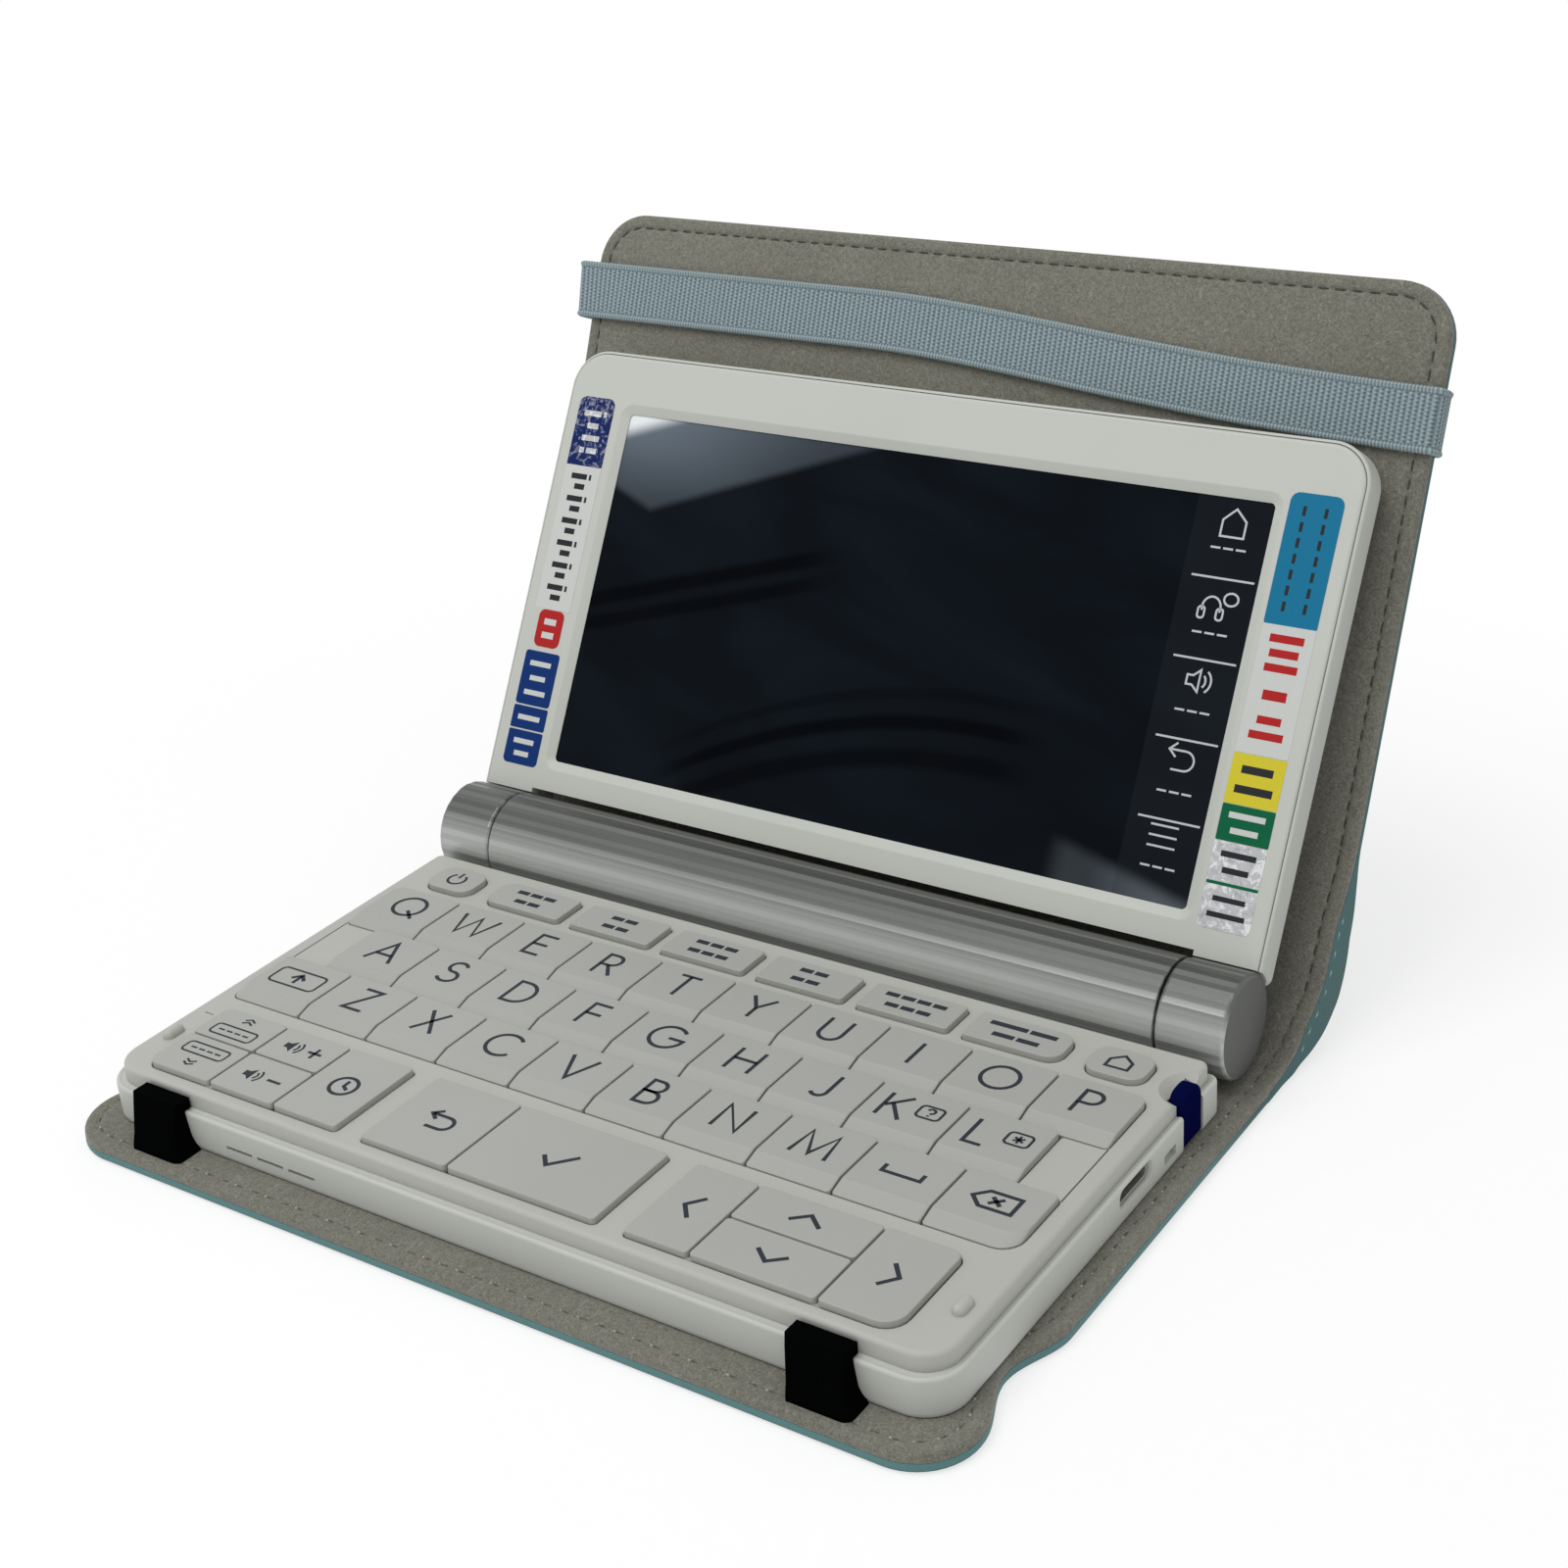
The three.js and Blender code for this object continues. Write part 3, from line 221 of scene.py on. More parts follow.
def join(name, parts):
    """One object from several, keeping each one's materials."""
    slots = []
    work = bmesh.new()
    for part in parts:
        first = len(work.faces)
        work.from_mesh(part.data)
        work.faces.ensure_lookup_table()
        table = []
        for material in part.data.materials:
            if material not in slots:
                slots.append(material)
            table.append(slots.index(material))
        for face in work.faces[first:]:
            face.material_index = table[face.material_index] if table else 0
    mesh = bpy.data.meshes.new(name)
    work.to_mesh(mesh)
    work.free()
    for material in slots:
        mesh.materials.append(material)
    for part in parts:
        remove(part)
    made = bpy.data.objects.new(name, mesh)
    bpy.context.scene.collection.objects.link(made)
    return made


def settled(made):
    """Work the modifiers out into a plain mesh."""
    bpy.context.view_layer.update()
    graph = bpy.context.evaluated_depsgraph_get()
    mesh = bpy.data.meshes.new_from_object(made.evaluated_get(graph))
    old = made.data
    made.modifiers.clear()
    made.data = mesh
    if old.users == 0:
        bpy.data.meshes.remove(old)
    mesh.name = made.name
    return made


def cut(made, tools, operation="DIFFERENCE"):
    """Take the tools away from the object (or add them to it)."""
    for tool in tools:
        modifier = made.modifiers.new("cut", "BOOLEAN")
        modifier.operation = operation
        modifier.solver = "EXACT"
        modifier.object = tool
    settled(made)
    for tool in tools:
        remove(tool)
    return made


def crisp(made, degrees=35.0, weighted=True):
    """Smooth shading with the edges sharper than the limit kept crisp."""
    mesh = made.data
    mesh.polygons.foreach_set("use_smooth", np.ones(len(mesh.polygons), bool))
    mesh.set_sharp_from_angle(angle=np.radians(degrees))
    if weighted:
        modifier = made.modifiers.new("weighted normals", "WEIGHTED_NORMAL")
        modifier.keep_sharp = True
        modifier.mode = "FACE_AREA"
        settled(made)
    return made


def paint(made, *materials):
    """Material slots of an object."""
    made.data.materials.clear()
    for material in materials:
        made.data.materials.append(material)
    return made


def block(name, low, high, place=world_place):
    """Plain box between two corners."""
    (x0, y0, z0), (x1, y1, z1) = low, high
    ring = np.array([(x0, y0), (x1, y0), (x1, y1), (x0, y1)], float)
    return loft(name, [level(ring, z0), level(ring, z1)], place)


def finished(made, node, slot, body, *materials):
    """Put a finished piece on its body, in the place of its node."""
    if materials:
        paint(made, *materials)
    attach(made, body)
    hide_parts(node)
    print(made.name, "has", len(made.data.polygons), "faces and stands for", node)
    return made


print("mesh tools are ready")

# %% [markdown]
# ## Shader maths
# Node trees read best as formulas. A small class wraps a socket, and its operators make the matching Math
# nodes. All other nodes go through one method that takes the node's type, its settings and its inputs.


# %% A small language for node trees
class Wire:
    """Output socket with arithmetic: a + b, a - b, a * b, a / b and a ** b make Math nodes."""

    def __init__(self, tree, socket):
        self.tree = tree
        self.socket = socket

    def math(self, operation, *others):
        return self.tree.node("ShaderNodeMath", {"operation": operation}, [self, *others])

    def __add__(self, other):
        return self.math("ADD", other)

    def __radd__(self, other):
        return self.math("ADD", other)

    def __sub__(self, other):
        return self.math("SUBTRACT", other)

    def __rsub__(self, other):
        return self.tree.node("ShaderNodeMath", {"operation": "SUBTRACT"}, [other, self])

    def __mul__(self, other):
        return self.math("MULTIPLY", other)

    def __rmul__(self, other):
        return self.math("MULTIPLY", other)

    def __truediv__(self, other):
        return self.math("DIVIDE", other)

    def __rtruediv__(self, other):
        return self.tree.node("ShaderNodeMath", {"operation": "DIVIDE"}, [other, self])

    def __pow__(self, other):
        return self.math("POWER", other)

    def sine(self):
        return self.math("SINE")

    def absolute(self):
        return self.math("ABSOLUTE")

    def below(self, limit):
        return self.math("LESS_THAN", limit)

    def part(self):
        return self.math("FRACT")

    def near(self, middle, reach):
        """Soft hump: 1 at the middle, 0 at the reach on both sides."""
        return (self - middle).absolute().ramp(reach, reach * 0.25)

    def whole(self):
        return self.math("FLOOR")

    def least(self, other):
        return self.math("MINIMUM", other)

    def most(self, other):
        return self.math("MAXIMUM", other)

    def ramp(self, low, high, to_low=0.0, to_high=1.0):
        """Smooth step from low to high."""
        values = [self, low, high, to_low, to_high]
        return self.tree.node("ShaderNodeMapRange", {"interpolation_type": "SMOOTHSTEP"}, values)


class Tree:
    """Node tree of a new material, or of a world that is handed in."""

    def __init__(self, name, world=None):
        self.owner = world or bpy.data.materials.new(name)
        self.owner.use_nodes = True
        self.nodes = self.owner.node_tree.nodes
        self.links = self.owner.node_tree.links
        self.nodes.clear()
        self.output = self.nodes.new("ShaderNodeOutputWorld" if world else "ShaderNodeOutputMaterial")

    def feed(self, socket, value):
        """Link a wire to a socket, or write the value on it."""
        if isinstance(value, Wire):
            self.links.new(value.socket, socket)
        elif isinstance(value, (tuple, list)) and len(value) == 3 and socket.type == "RGBA":
            socket.default_value = (*value, 1.0)
        else:
            socket.default_value = value

    def node(self, kind, settings=None, inputs=(), output=0):
        """New node with its settings, and its inputs as a list or by name; gives one output."""
        made = self.nodes.new(kind)
        for key, value in (settings or {}).items():
            setattr(made, key, value)
        pairs = inputs.items() if isinstance(inputs, dict) else enumerate(inputs)
        for key, value in pairs:
            if value is not None:
                self.feed(made.inputs[key], value)
        return Wire(self, made.outputs[output])

    def place(self):
        """Object coordinates."""
        return self.node("ShaderNodeTexCoord", output="Object")

    def axes(self, vector=None):
        """The three parts of a vector as wires."""
        split = self.nodes.new("ShaderNodeSeparateXYZ")
        self.feed(split.inputs[0], vector or self.place())
        return [Wire(self, socket) for socket in split.outputs]

    def vector(self, x=0.0, y=0.0, z=0.0):
        return self.node("ShaderNodeCombineXYZ", inputs=[x, y, z])

    def stretched(self, scale):
        """Object coordinates multiplied axis by axis."""
        return self.node("ShaderNodeVectorMath", {"operation": "MULTIPLY"}, [self.place(), scale])

    def noise(self, scale, detail=3.0, rough=0.55, vector=None, twist=0.0):
        """Noise between 0 and 1; scale in features per metre."""
        return self.node("ShaderNodeTexNoise", None, {
            "Vector": vector or self.place(), "Scale": scale, "Detail": detail, "Roughness": rough,
            "Distortion": twist})

    def cells(self, scale, feature="F1"):
        """Distance to the nearest point of a scattered grid, or to the edge between two cells."""
        return self.node("ShaderNodeTexVoronoi", {"feature": feature}, {"Vector": self.place(), "Scale": scale})

    def mix(self, share, first, second):
        """Colour between two colours."""
        made = self.nodes.new("ShaderNodeMix")
        made.data_type = "RGBA"
        self.feed(made.inputs[0], share)
        self.feed(made.inputs[6], first)
        self.feed(made.inputs[7], second)
        return Wire(self, made.outputs[2])

    def bump(self, height, distance, strength=1.0):
        """Normal bent by a height between 0 and 1 that stands for the distance in metres."""
        return self.node("ShaderNodeBump", None, {"Height": height, "Distance": distance, "Strength": strength})

    def finish(self, colour, rough, normal=None, **sockets):
        """Principled surface; further sockets by name with _ for spaces."""
        shader = self.nodes.new("ShaderNodeBsdfPrincipled")
        self.feed(shader.inputs["Base Color"], colour)
        self.feed(shader.inputs["Roughness"], rough)
        if normal is not None:
            self.feed(shader.inputs["Normal"], normal)
        for key, value in sockets.items():
            self.feed(shader.inputs[key.replace("_", " ")], value)
        self.links.new(shader.outputs[0], self.output.inputs["Surface"])
        return self.owner


def srgb(red, green, blue):
    """Linear colour of a display colour in 0 to 255: c/12.92 below 0.04045, else ((c+0.055)/1.055)^2.4."""
    c = np.array([red, green, blue], float) / 255
    return tuple(float(v) for v in np.where(c <= 0.04045, c / 12.92, ((c + 0.055) / 1.055) ** 2.4))


def toned(colour, share):
    """Colour made lighter or darker by a share, up to full white."""
    return tuple(min(1.0, share * v) for v in colour)


print("a middle grey as a linear colour:", np.round(srgb(128, 128, 128), 3))

# %% [markdown]
# ## Mouldings of the dictionary
# The shell, the deck and the keys are white plastic. It isn't one flat colour: the tool leaves a very fine
# grain, the plastic is slightly cloudy, and handling dulls it a little here and there.


# %% White plastics
def plastic(name, colour, rough, grain=0.000012, specular=0.4, cloud=0.04):
    """Matte moulding: fine grain in the surface, faint clouds in tone and gloss."""
    tree = Tree(name)
    wide = tree.noise(35.0, 2.0)
    fine = tree.noise(5200.0, 2.0)
    tone = 1.0 - cloud * (wide - 0.5) * 2.0 - 0.02 * (fine - 0.5)
    shade = tree.mix(tone.ramp(0.93, 1.05), toned(colour, 1 - 2 * cloud), colour)
    gloss = rough + 0.10 * (wide - 0.5) + 0.08 * (fine - 0.5)
    return tree.finish(shade, gloss, tree.bump(fine, grain), Specular_IOR_Level=specular)


WHITE = plastic("white_shell", srgb(189, 191, 185), 0.45, specular=0.25)
DECK_WHITE = plastic("white_deck", srgb(177, 178, 172), 0.48, specular=0.25)
KEY_WHITE = plastic("white_keys", srgb(166, 167, 162), 0.42, grain=0.00002, specular=0.25)
print("plastics:", WHITE.name, DECK_WHITE.name, KEY_WHITE.name)

# %% [markdown]
# ## Lower case
# A shallow tray: its wall rises straight, turns over a rounded lip, and steps down to the ledge that
# carries the deck. It is one profile carried round the outline, with the slits, the socket's slot and the
# pockets cut out after. Inside it stand the barrel's cradle and the bored housing that guides the stylus.

# %% Lower case
DEVICE_WIDE = 74.0
DEVICE_DEEP = 79.0
CASE = rectangle(-DEVICE_WIDE, 0, DEVICE_WIDE, DEVICE_DEEP)
CASE_RADII = [6.2, 6.2, 1.5, 1.5]
BARREL_Y, BARREL_Z = 87.5, 9.38
USB_Y = 51.9
STYLUS_Y, STYLUS_Z = 69.95, 3.085
STYLUS_SLOT = ((71.2, 66.75, -1.0), (75.0, 73.15, 9.5))


def rod(name, radius, start, end, y, z, sides=48, place=body_place, bevel=0.0):
    """Round bar along x; a bevel draws its rims in by b (1 - cos a) where x = b (1 - sin a)."""
    angle = np.arange(sides) * 2 * np.pi / sides
    turn = np.linspace(np.pi / 2, 0, 5) if bevel else [0.0]
    steps = [(start + bevel * (1 - np.sin(a)), radius - bevel * (1 - np.cos(a))) for a in turn]
    tail = [(start + end - x, r) for x, r in steps[::-1]]
    return loft(name, [upright(circle(y, z, r, angle), x) for x, r in steps + tail], place)


shell_profile = (
    [(-0.5, 0.0), (-0.12, 0.12), (0.0, 0.5), (0.0, 0.7), (0.0, 5.3)]
    + quarter(0.0, 5.45, 0.38, 0.5)
    + [(-0.5, 5.95), (-0.7, 5.9), (-0.8, 5.82), (-2.4, 5.8), (-2.4, 1.2)]
)
lower_case = loft("lower_case", rings_of(CASE, CASE_RADII, shell_profile, 10), body_place)
lower_cuts = [block("slit", (x - 2.6, -1, 1.9), (x + 2.6, 3, 2.5), body_place) for x in (-45.0, -38.8, -32.6)]
slot_box = rectangle(USB_Y - 4.6, 2.4, USB_Y + 4.6, 5.15)
slot_flare = ((70.0, 0.0), (73.45, 0.0), (73.7, 0.06), (74.0, 0.36), (75.0, 1.2))
lower_cuts.append(loft("usb_slot", [lying(slot_box, 1.0, grow, x) for x, grow in slot_flare], body_place))
lower_cuts.append(block("recess", (73.2, 60.7, 1.6), (75.0, 64.3, 3.2), body_place))
lower_cuts.append(block("stylus_pocket", *STYLUS_SLOT, body_place))
cut(lower_case, lower_cuts)
crisp(lower_case)

# %% Barrel's cradle and stylus housing
cradle_outline = outline(rectangle(-62.5, 76.6, 62.5, 93.0), 0.6)
cradle = loft("cradle", [level(cradle_outline, z) for z in (0.05, 3.2)], body_place)
cut(cradle, [rod("hollow", 8.32, -70, 70, BARREL_Y, BARREL_Z)])
crisp(cradle)
housing = block("housing", (64.0, 66.62, 1.0), (71.15, 73.28, 4.9), body_place)
cut(housing, [block("lip", (69.5, 66.62, 4.0), (71.15, 73.28, 5.82), body_place)], "UNION")
cut(housing, [rod("stylus_bore", 1.85, 63.0, 72.0, STYLUS_Y, STYLUS_Z, 32)])
crisp(housing)
lower_case = join("lower_case_skin", [lower_case, cradle, housing])
finished(lower_case, "lower_case", "white_plastic", "base", WHITE)

# %% [markdown]
# ## Key deck
# The deck is a flat plate with rounded edges. The wells of the keys are its character: each has a slightly
# rounded lip, which shows as a thin bright line. So every well is cut by a tool that flares out at the
# deck's surface.

# %% Places of the keys
PITCH, ROW = 14.02, 13.25
LETTER_FRONT = 24.75
letter_rows = [
    ["shift_key"] + ["key_" + c for c in "zxcvbnm"] + ["space_key", "delete_key"],
    ["key_" + c for c in "asdfghjkl"],
    ["key_" + c for c in "qwertyuiop"],
]
letter_places = {}
for row, names in enumerate(letter_rows):
    front = LETTER_FRONT + row * ROW
    for place, name in enumerate(names):
        left = -len(names) * PITCH / 2 + place * PITCH
        letter_places[name] = (left, front, left + PITCH, front + ROW)
print(len(letter_places), "letter places, shift at", np.round(letter_places["shift_key"], 2))

# %% [markdown]
# The row above the letters and the row in front of them are laid out the same way. A well is one rounded
# outline; the letters share a single well whose middle row is shorter, which leaves a blank filler at each
# end.

# %% Wells in the deck
TOP_ROW = (66.8, 74.2)
FRONT_ROW = (3.8, 21.4)
DECK_TOP = 8.62
POWER_BOX = (-67.2, TOP_ROW[0], -57.5, TOP_ROW[1])
HOME_BOX = (57.5, TOP_ROW[0], 67.2, TOP_ROW[1])
SHORTCUTS = [(-54.1 + 18.4 * i, TOP_ROW[0], -37.9 + 18.4 * i, TOP_ROW[1]) for i in range(6)]
ROUND = 2.6
FRONT_LEFT, FRONT_SPACE = -67.0, 4.5
FRONT_WIDTHS = ((0.9344, 0.9272, 0.8987), (1.1484, 1.8616), (0.7632, 1.4123, 0.8488))
FRONT_X = []
for widths in FRONT_WIDTHS:
    FRONT_X.append(FRONT_X[-1] + FRONT_SPACE if FRONT_X else FRONT_LEFT)
    for width in widths:
        FRONT_X.append(FRONT_X[-1] + width * PITCH)
print("front row edges:", np.round(FRONT_X, 2).tolist())

well_lip = [(0.0, 5.0), (0.0, 8.38), (0.02, 8.46), (0.07, 8.54), (0.16, 8.60), (0.24, 8.625), (0.24, 9.2)]


def well(corners, radii, steps=6):
    """Cutter for a key well: straight sides that flare out in a small round at the deck's surface."""
    return loft("well", rings_of(corners, radii, well_lip, steps), body_place)


row_y = [LETTER_FRONT + ROW * i for i in range(4)]
half_wide, half_short = 5 * PITCH, 4.5 * PITCH
letter_well = [
    (-half_wide, row_y[0]), (half_wide, row_y[0]), (half_wide, row_y[1]), (half_short, row_y[1]),
    (half_short, row_y[2]), (half_wide, row_y[2]), (half_wide, row_y[3]), (-half_wide, row_y[3]),
    (-half_wide, row_y[2]), (-half_short, row_y[2]), (-half_short, row_y[1]), (-half_wide, row_y[1]),
]
wells = [well(letter_well, [1.35, 3.35, 0.8, 0.5, 0.5, 0.8, 2.15, 2.15, 0.8, 0.5, 0.5, 0.8])]
wells += [well(rectangle(*box), ROUND) for box in (POWER_BOX, HOME_BOX)]
for i, box in enumerate(SHORTCUTS):
    left_r, right_r = (ROUND if i == 0 else 0.8), (ROUND if i == 5 else 0.8)
    wells.append(well(rectangle(*box), [left_r, right_r, right_r, left_r]))
wells.append(well(rectangle(FRONT_X[0], FRONT_ROW[0], FRONT_X[3], FRONT_ROW[1]), [2.0, 0.8, 0.8, 1.8]))
wells.append(well(rectangle(FRONT_X[4], FRONT_ROW[0], FRONT_X[6], FRONT_ROW[1]), 0.8))
wells.append(well(rectangle(FRONT_X[7], FRONT_ROW[0], FRONT_X[10], FRONT_ROW[1]), [0.8, 3.4, 1.8, 0.8]))
grooves = [block("groove", (x - 0.13, row_y[1] - 0.3, 8.0), (x + 0.13, row_y[2] + 0.3, 9.0), body_place)
           for x in (-half_wide, half_wide)]
slit_outline = outline(rectangle(-70.4, 19.15, -68.6, 19.45), 0.14)
wells.append(loft("slit_mark", [level(slit_outline, z) for z in (8.4, 9.0)], body_place))
print(len(wells), "cutters for wells and grooves")

# %% Key deck
deck_side = [(-1.2, 7.2), (-1.2, 5.84), (0.0, 5.84), (0.0, 6.0), (-0.03, 7.6)]
deck_profile = deck_side + quarter(-0.04, 7.92, 0.75, 0.7, 7)
deck_corners = rectangle(-DEVICE_WIDE + 1.1, 1.6, DEVICE_WIDE - 1.1, DEVICE_DEEP - 0.9)
key_deck = loft("key_deck", rings_of(deck_corners, [5.2, 5.2, 1.4, 1.4], deck_profile, 10), body_place)
scoop_mesh = bpy.data.meshes.new("scoop")
scoop_work = bmesh.new()
bmesh.ops.create_uvsphere(scoop_work, u_segments=48, v_segments=32, radius=7.0 * MILLI)
scoop_work.to_mesh(scoop_mesh)
scoop_work.free()
scoop_middle = body_place([(DEVICE_WIDE, STYLUS_Y, DECK_TOP + 5.0)])[0]
scoop_mesh.transform(Matrix.Translation(Vector(scoop_middle)))
scoop = bpy.data.objects.new("scoop", scoop_mesh)
bpy.context.scene.collection.objects.link(scoop)
stylus_gap = block("stylus_gap", *STYLUS_SLOT, body_place)
cut(key_deck, [join("deck_tools", wells), join("deck_grooves", grooves), scoop, stylus_gap])
crisp(key_deck, 38)


def pebble(name, middle, size, low, high, rows=7, steps=6):
    """Rounded stud: insets follow a quarter ellipse, w(t) = w * (1 - cos t), z(t) = h * sin t."""
    x, y = middle
    wide, deep = size
    radius = min(wide, deep) / 2
    corners = rectangle(x - wide / 2, y - deep / 2, x + wide / 2, y + deep / 2)
    rings = [level(outline(corners, radius, 0.0, steps), low)]
    for angle in np.linspace(0, np.pi / 2 * 0.94, rows):
        inset = (radius - 0.05) * (1 - np.cos(angle))
        height = high - (high - low) * 0.75 * (1 - np.sin(angle))
        rings.append(level(outline(corners, radius, -inset, steps), height))
    return loft(name, rings, body_place)


nubs = [pebble("nub", (side * 69.9, 12.2), (2.0, 3.8), 8.3, 9.9) for side in (-1, 1)]
for nub in nubs:
    crisp(nub, 60)
key_deck = join("key_deck_skin", [key_deck, *nubs])
finished(key_deck, "key_deck", "white_plastic", "base", DECK_WHITE)

# %% [markdown]
# ## Legends
# The letters are drawn with one even thin stroke, like a technical pen. Each stroke is a ribbon along a
# line of points; its sides are offset along the bisector of the two neighbouring directions so that corners
# stay sharp.

# %% Strokes
LIFT = 0.02


def arc(x, y, wide, high, start, end, count=18):
    """Points of an ellipse's arc, degrees counter-clockwise from the x axis."""
    angle = np.radians(np.linspace(start, end, count))
    return list(zip(x + wide * np.cos(angle), y + high * np.sin(angle)))


def stroke(points, width, closed=False):
    """Flat ribbon about a line of points: p +- m w/2 with the mitre m = (n1 + n2) / (1 + n1.n2)."""
    p = np.asarray(points, float)
    ahead = np.roll(p, -1, 0) - p
    ahead /= np.maximum(np.linalg.norm(ahead, axis=1), 1e-9)[:, None]
    behind = np.roll(ahead, 1, 0)
    if not closed:
        ahead[-1] = ahead[-2]
        behind[0] = ahead[0]
    normal_a = np.stack([-ahead[:, 1], ahead[:, 0]], 1)
    normal_b = np.stack([-behind[:, 1], behind[:, 0]], 1)
    mitre = (normal_a + normal_b) / np.maximum(1 + (normal_a * normal_b).sum(1), 0.35)[:, None]
    left, right_side = p + mitre * width / 2, p - mitre * width / 2
    count = len(p)
    flat = np.concatenate([right_side, left])
    last = count if closed else count - 1
    i = np.arange(last)
    j = (i + 1) % count
    return flat, np.stack([i, j, j + count, i + count], 1)


def drawing(name, strokes, place, height, width):
    """Mesh of several ribbons at a height; a stroke is (points, closed)."""
    points, faces, base = [], [], 0
    for line, closed in strokes:
        flat, quads = stroke(line, width, closed)
        points.append(level(flat, height))
        faces += (quads + base).tolist()
        base += len(flat)
    return new_object(name, place(np.concatenate(points)), faces)


def open_line(*points):
    return (list(points), False)


def closed_line(*points):
    return (list(points), True)


ring_letter = (arc(0.5, 0.5, 0.5, 0.5, 0, 345, 24), True)
LETTERS = {
    "a": [open_line((0, 0), (0.45, 1), (0.9, 0)), open_line((0.17, 0.36), (0.73, 0.36))],
    "b": [(arc(0.26, 0.76, 0.24, 0.24, 90, -90, 10) + [(0, 0.52), (0, 1)], True),
          ([(0, 0.52)] + arc(0.3, 0.26, 0.27, 0.26, 90, -90, 10) + [(0, 0)], True)],
    "c": [(arc(0.5, 0.5, 0.5, 0.5, 42, 318, 24), False)],
    "d": [([(0, 0)] + arc(0.27, 0.5, 0.48, 0.5, -90, 90, 16) + [(0, 1)], True)],
    "e": [open_line((0.55, 1), (0, 1), (0, 0), (0.55, 0)), open_line((0, 0.52), (0.5, 0.52))],
    "f": [open_line((0.55, 1), (0, 1), (0, 0)), open_line((0, 0.52), (0.5, 0.52))],
    "g": [(arc(0.5, 0.5, 0.5, 0.5, 42, 352, 26) + [(1.0, 0.48), (0.55, 0.48)], False)],
    "h": [open_line((0, 0), (0, 1)), open_line((0.7, 0), (0.7, 1)), open_line((0, 0.52), (0.7, 0.52))],
    "i": [open_line((0, 0), (0, 1))],
    "j": [([(0.42, 1)] + arc(0.2, 0.22, 0.22, 0.22, 0, -150, 12), False)],
    "k": [open_line((0, 0), (0, 1)), open_line((0.6, 1), (0.04, 0.45)), open_line((0.2, 0.6), (0.66, 0))],
    "l": [open_line((0, 1), (0, 0), (0.5, 0))],
    "m": [open_line((0, 0), (0.12, 1), (0.5, 0.1), (0.88, 1), (1.0, 0))],
    "n": [open_line((0, 0), (0, 1), (0.72, 0), (0.72, 1))],
    "o": [ring_letter],
    "p": [open_line((0, 0), (0, 0.46)),
          ([(0, 0.46)] + arc(0.27, 0.73, 0.27, 0.27, -90, 90, 12) + [(0, 1)], True)],
    "q": [ring_letter, open_line((0.6, 0.3), (0.98, -0.06))],
    "r": [open_line((0, 0), (0, 0.48)),
          ([(0, 0.48)] + arc(0.27, 0.74, 0.26, 0.26, -90, 90, 12) + [(0, 1)], True),
          open_line((0.26, 0.48), (0.6, 0))],
    "s": [(arc(0.3, 0.755, 0.26, 0.245, 25, 262, 16) + arc(0.3, 0.26, 0.3, 0.26, 78, -155, 16), False)],
    "t": [open_line((0, 1), (0.66, 1)), open_line((0.33, 1), (0.33, 0))],
    "u": [([(0, 1)] + arc(0.33, 0.33, 0.33, 0.33, 180, 360, 14) + [(0.66, 1)], False)],
    "v": [open_line((0, 1), (0.42, 0), (0.84, 1))],
    "w": [open_line((0, 1), (0.31, 0), (0.63, 0.93), (0.95, 0), (1.26, 1))],
    "x": [open_line((0, 0), (0.64, 1)), open_line((0.02, 1), (0.68, 0))],
    "y": [open_line((0, 1), (0.37, 0.48), (0.74, 1)), open_line((0.37, 0.48), (0.37, 0))],
    "z": [open_line((0.02, 1), (0.62, 1), (0, 0), (0.66, 0))],
}


def scaled(strokes, scale, middle):
    """Strokes multiplied by a scale and moved so that their box's middle lies at a place."""
    everything = np.concatenate([np.asarray(line, float) for line, closed in strokes])
    centre = (everything.min(0) + everything.max(0)) / 2
    return [((np.asarray(line, float) - centre) * scale + middle, closed) for line, closed in strokes]


def rounded_frame(wide, high, radius):
    return (outline(rectangle(-wide / 2, -high / 2, wide / 2, high / 2), radius, 0, 4).tolist(), True)


CHEVRON = [open_line((-1, 0), (0, 0.55), (1, 0))]


def turned_by(strokes, degrees):
    """Strokes turned counter-clockwise about the origin."""
    angle = np.radians(degrees)
    turn = np.array([[np.cos(angle), np.sin(angle)], [-np.sin(angle), np.cos(angle)]])
    return [((np.asarray(line, float) @ turn), closed) for line, closed in strokes]


def shifted(strokes, x, y):
    return [((np.asarray(line, float) + (x, y)), closed) for line, closed in strokes]


BAR_SPACE = 0.45


def bars(rows, step):
    """Rows of short bars that stand for a line of words: rows gives the bars' lengths in each row."""
    made = []
    for i, row in enumerate(rows):
        x = -(sum(row) + BAR_SPACE * (len(row) - 1)) / 2
        y = ((len(rows) - 1) / 2 - i) * step
        for length in row:
            made.append(open_line((x, y), (x + length, y)))
            x += length + BAR_SPACE
    return made


print(len(LETTERS), "letters drawn as strokes")

# %% [markdown]
# ## Keys
# A key cap has straight sides and a small round over the edge of its flat top. The letter keys have a
# slanted front skirt as well, a fifth of their depth, which falls towards the next row and leaves a fine
# dark line there.

# %% Key caps
INK = plastic("legend_ink", srgb(50, 55, 62), 0.6, specular=0.1, cloud=0.08)
KEY_TOP = DECK_TOP + 0.9
KEY_GAP = 0.14
CAP_R = 0.66
CAP_STEPS = [(0.0, 0.0, 0.02), (0.03, 0.01, 0.1), (0.5, 0.03, 0.44), (0.86, 0.05, 0.70), (1.0, 0.06, 0.775),
             (1.05, 0.09, 0.83), (1.1, 0.15, 0.875), (1.15, 0.25, 0.9)]


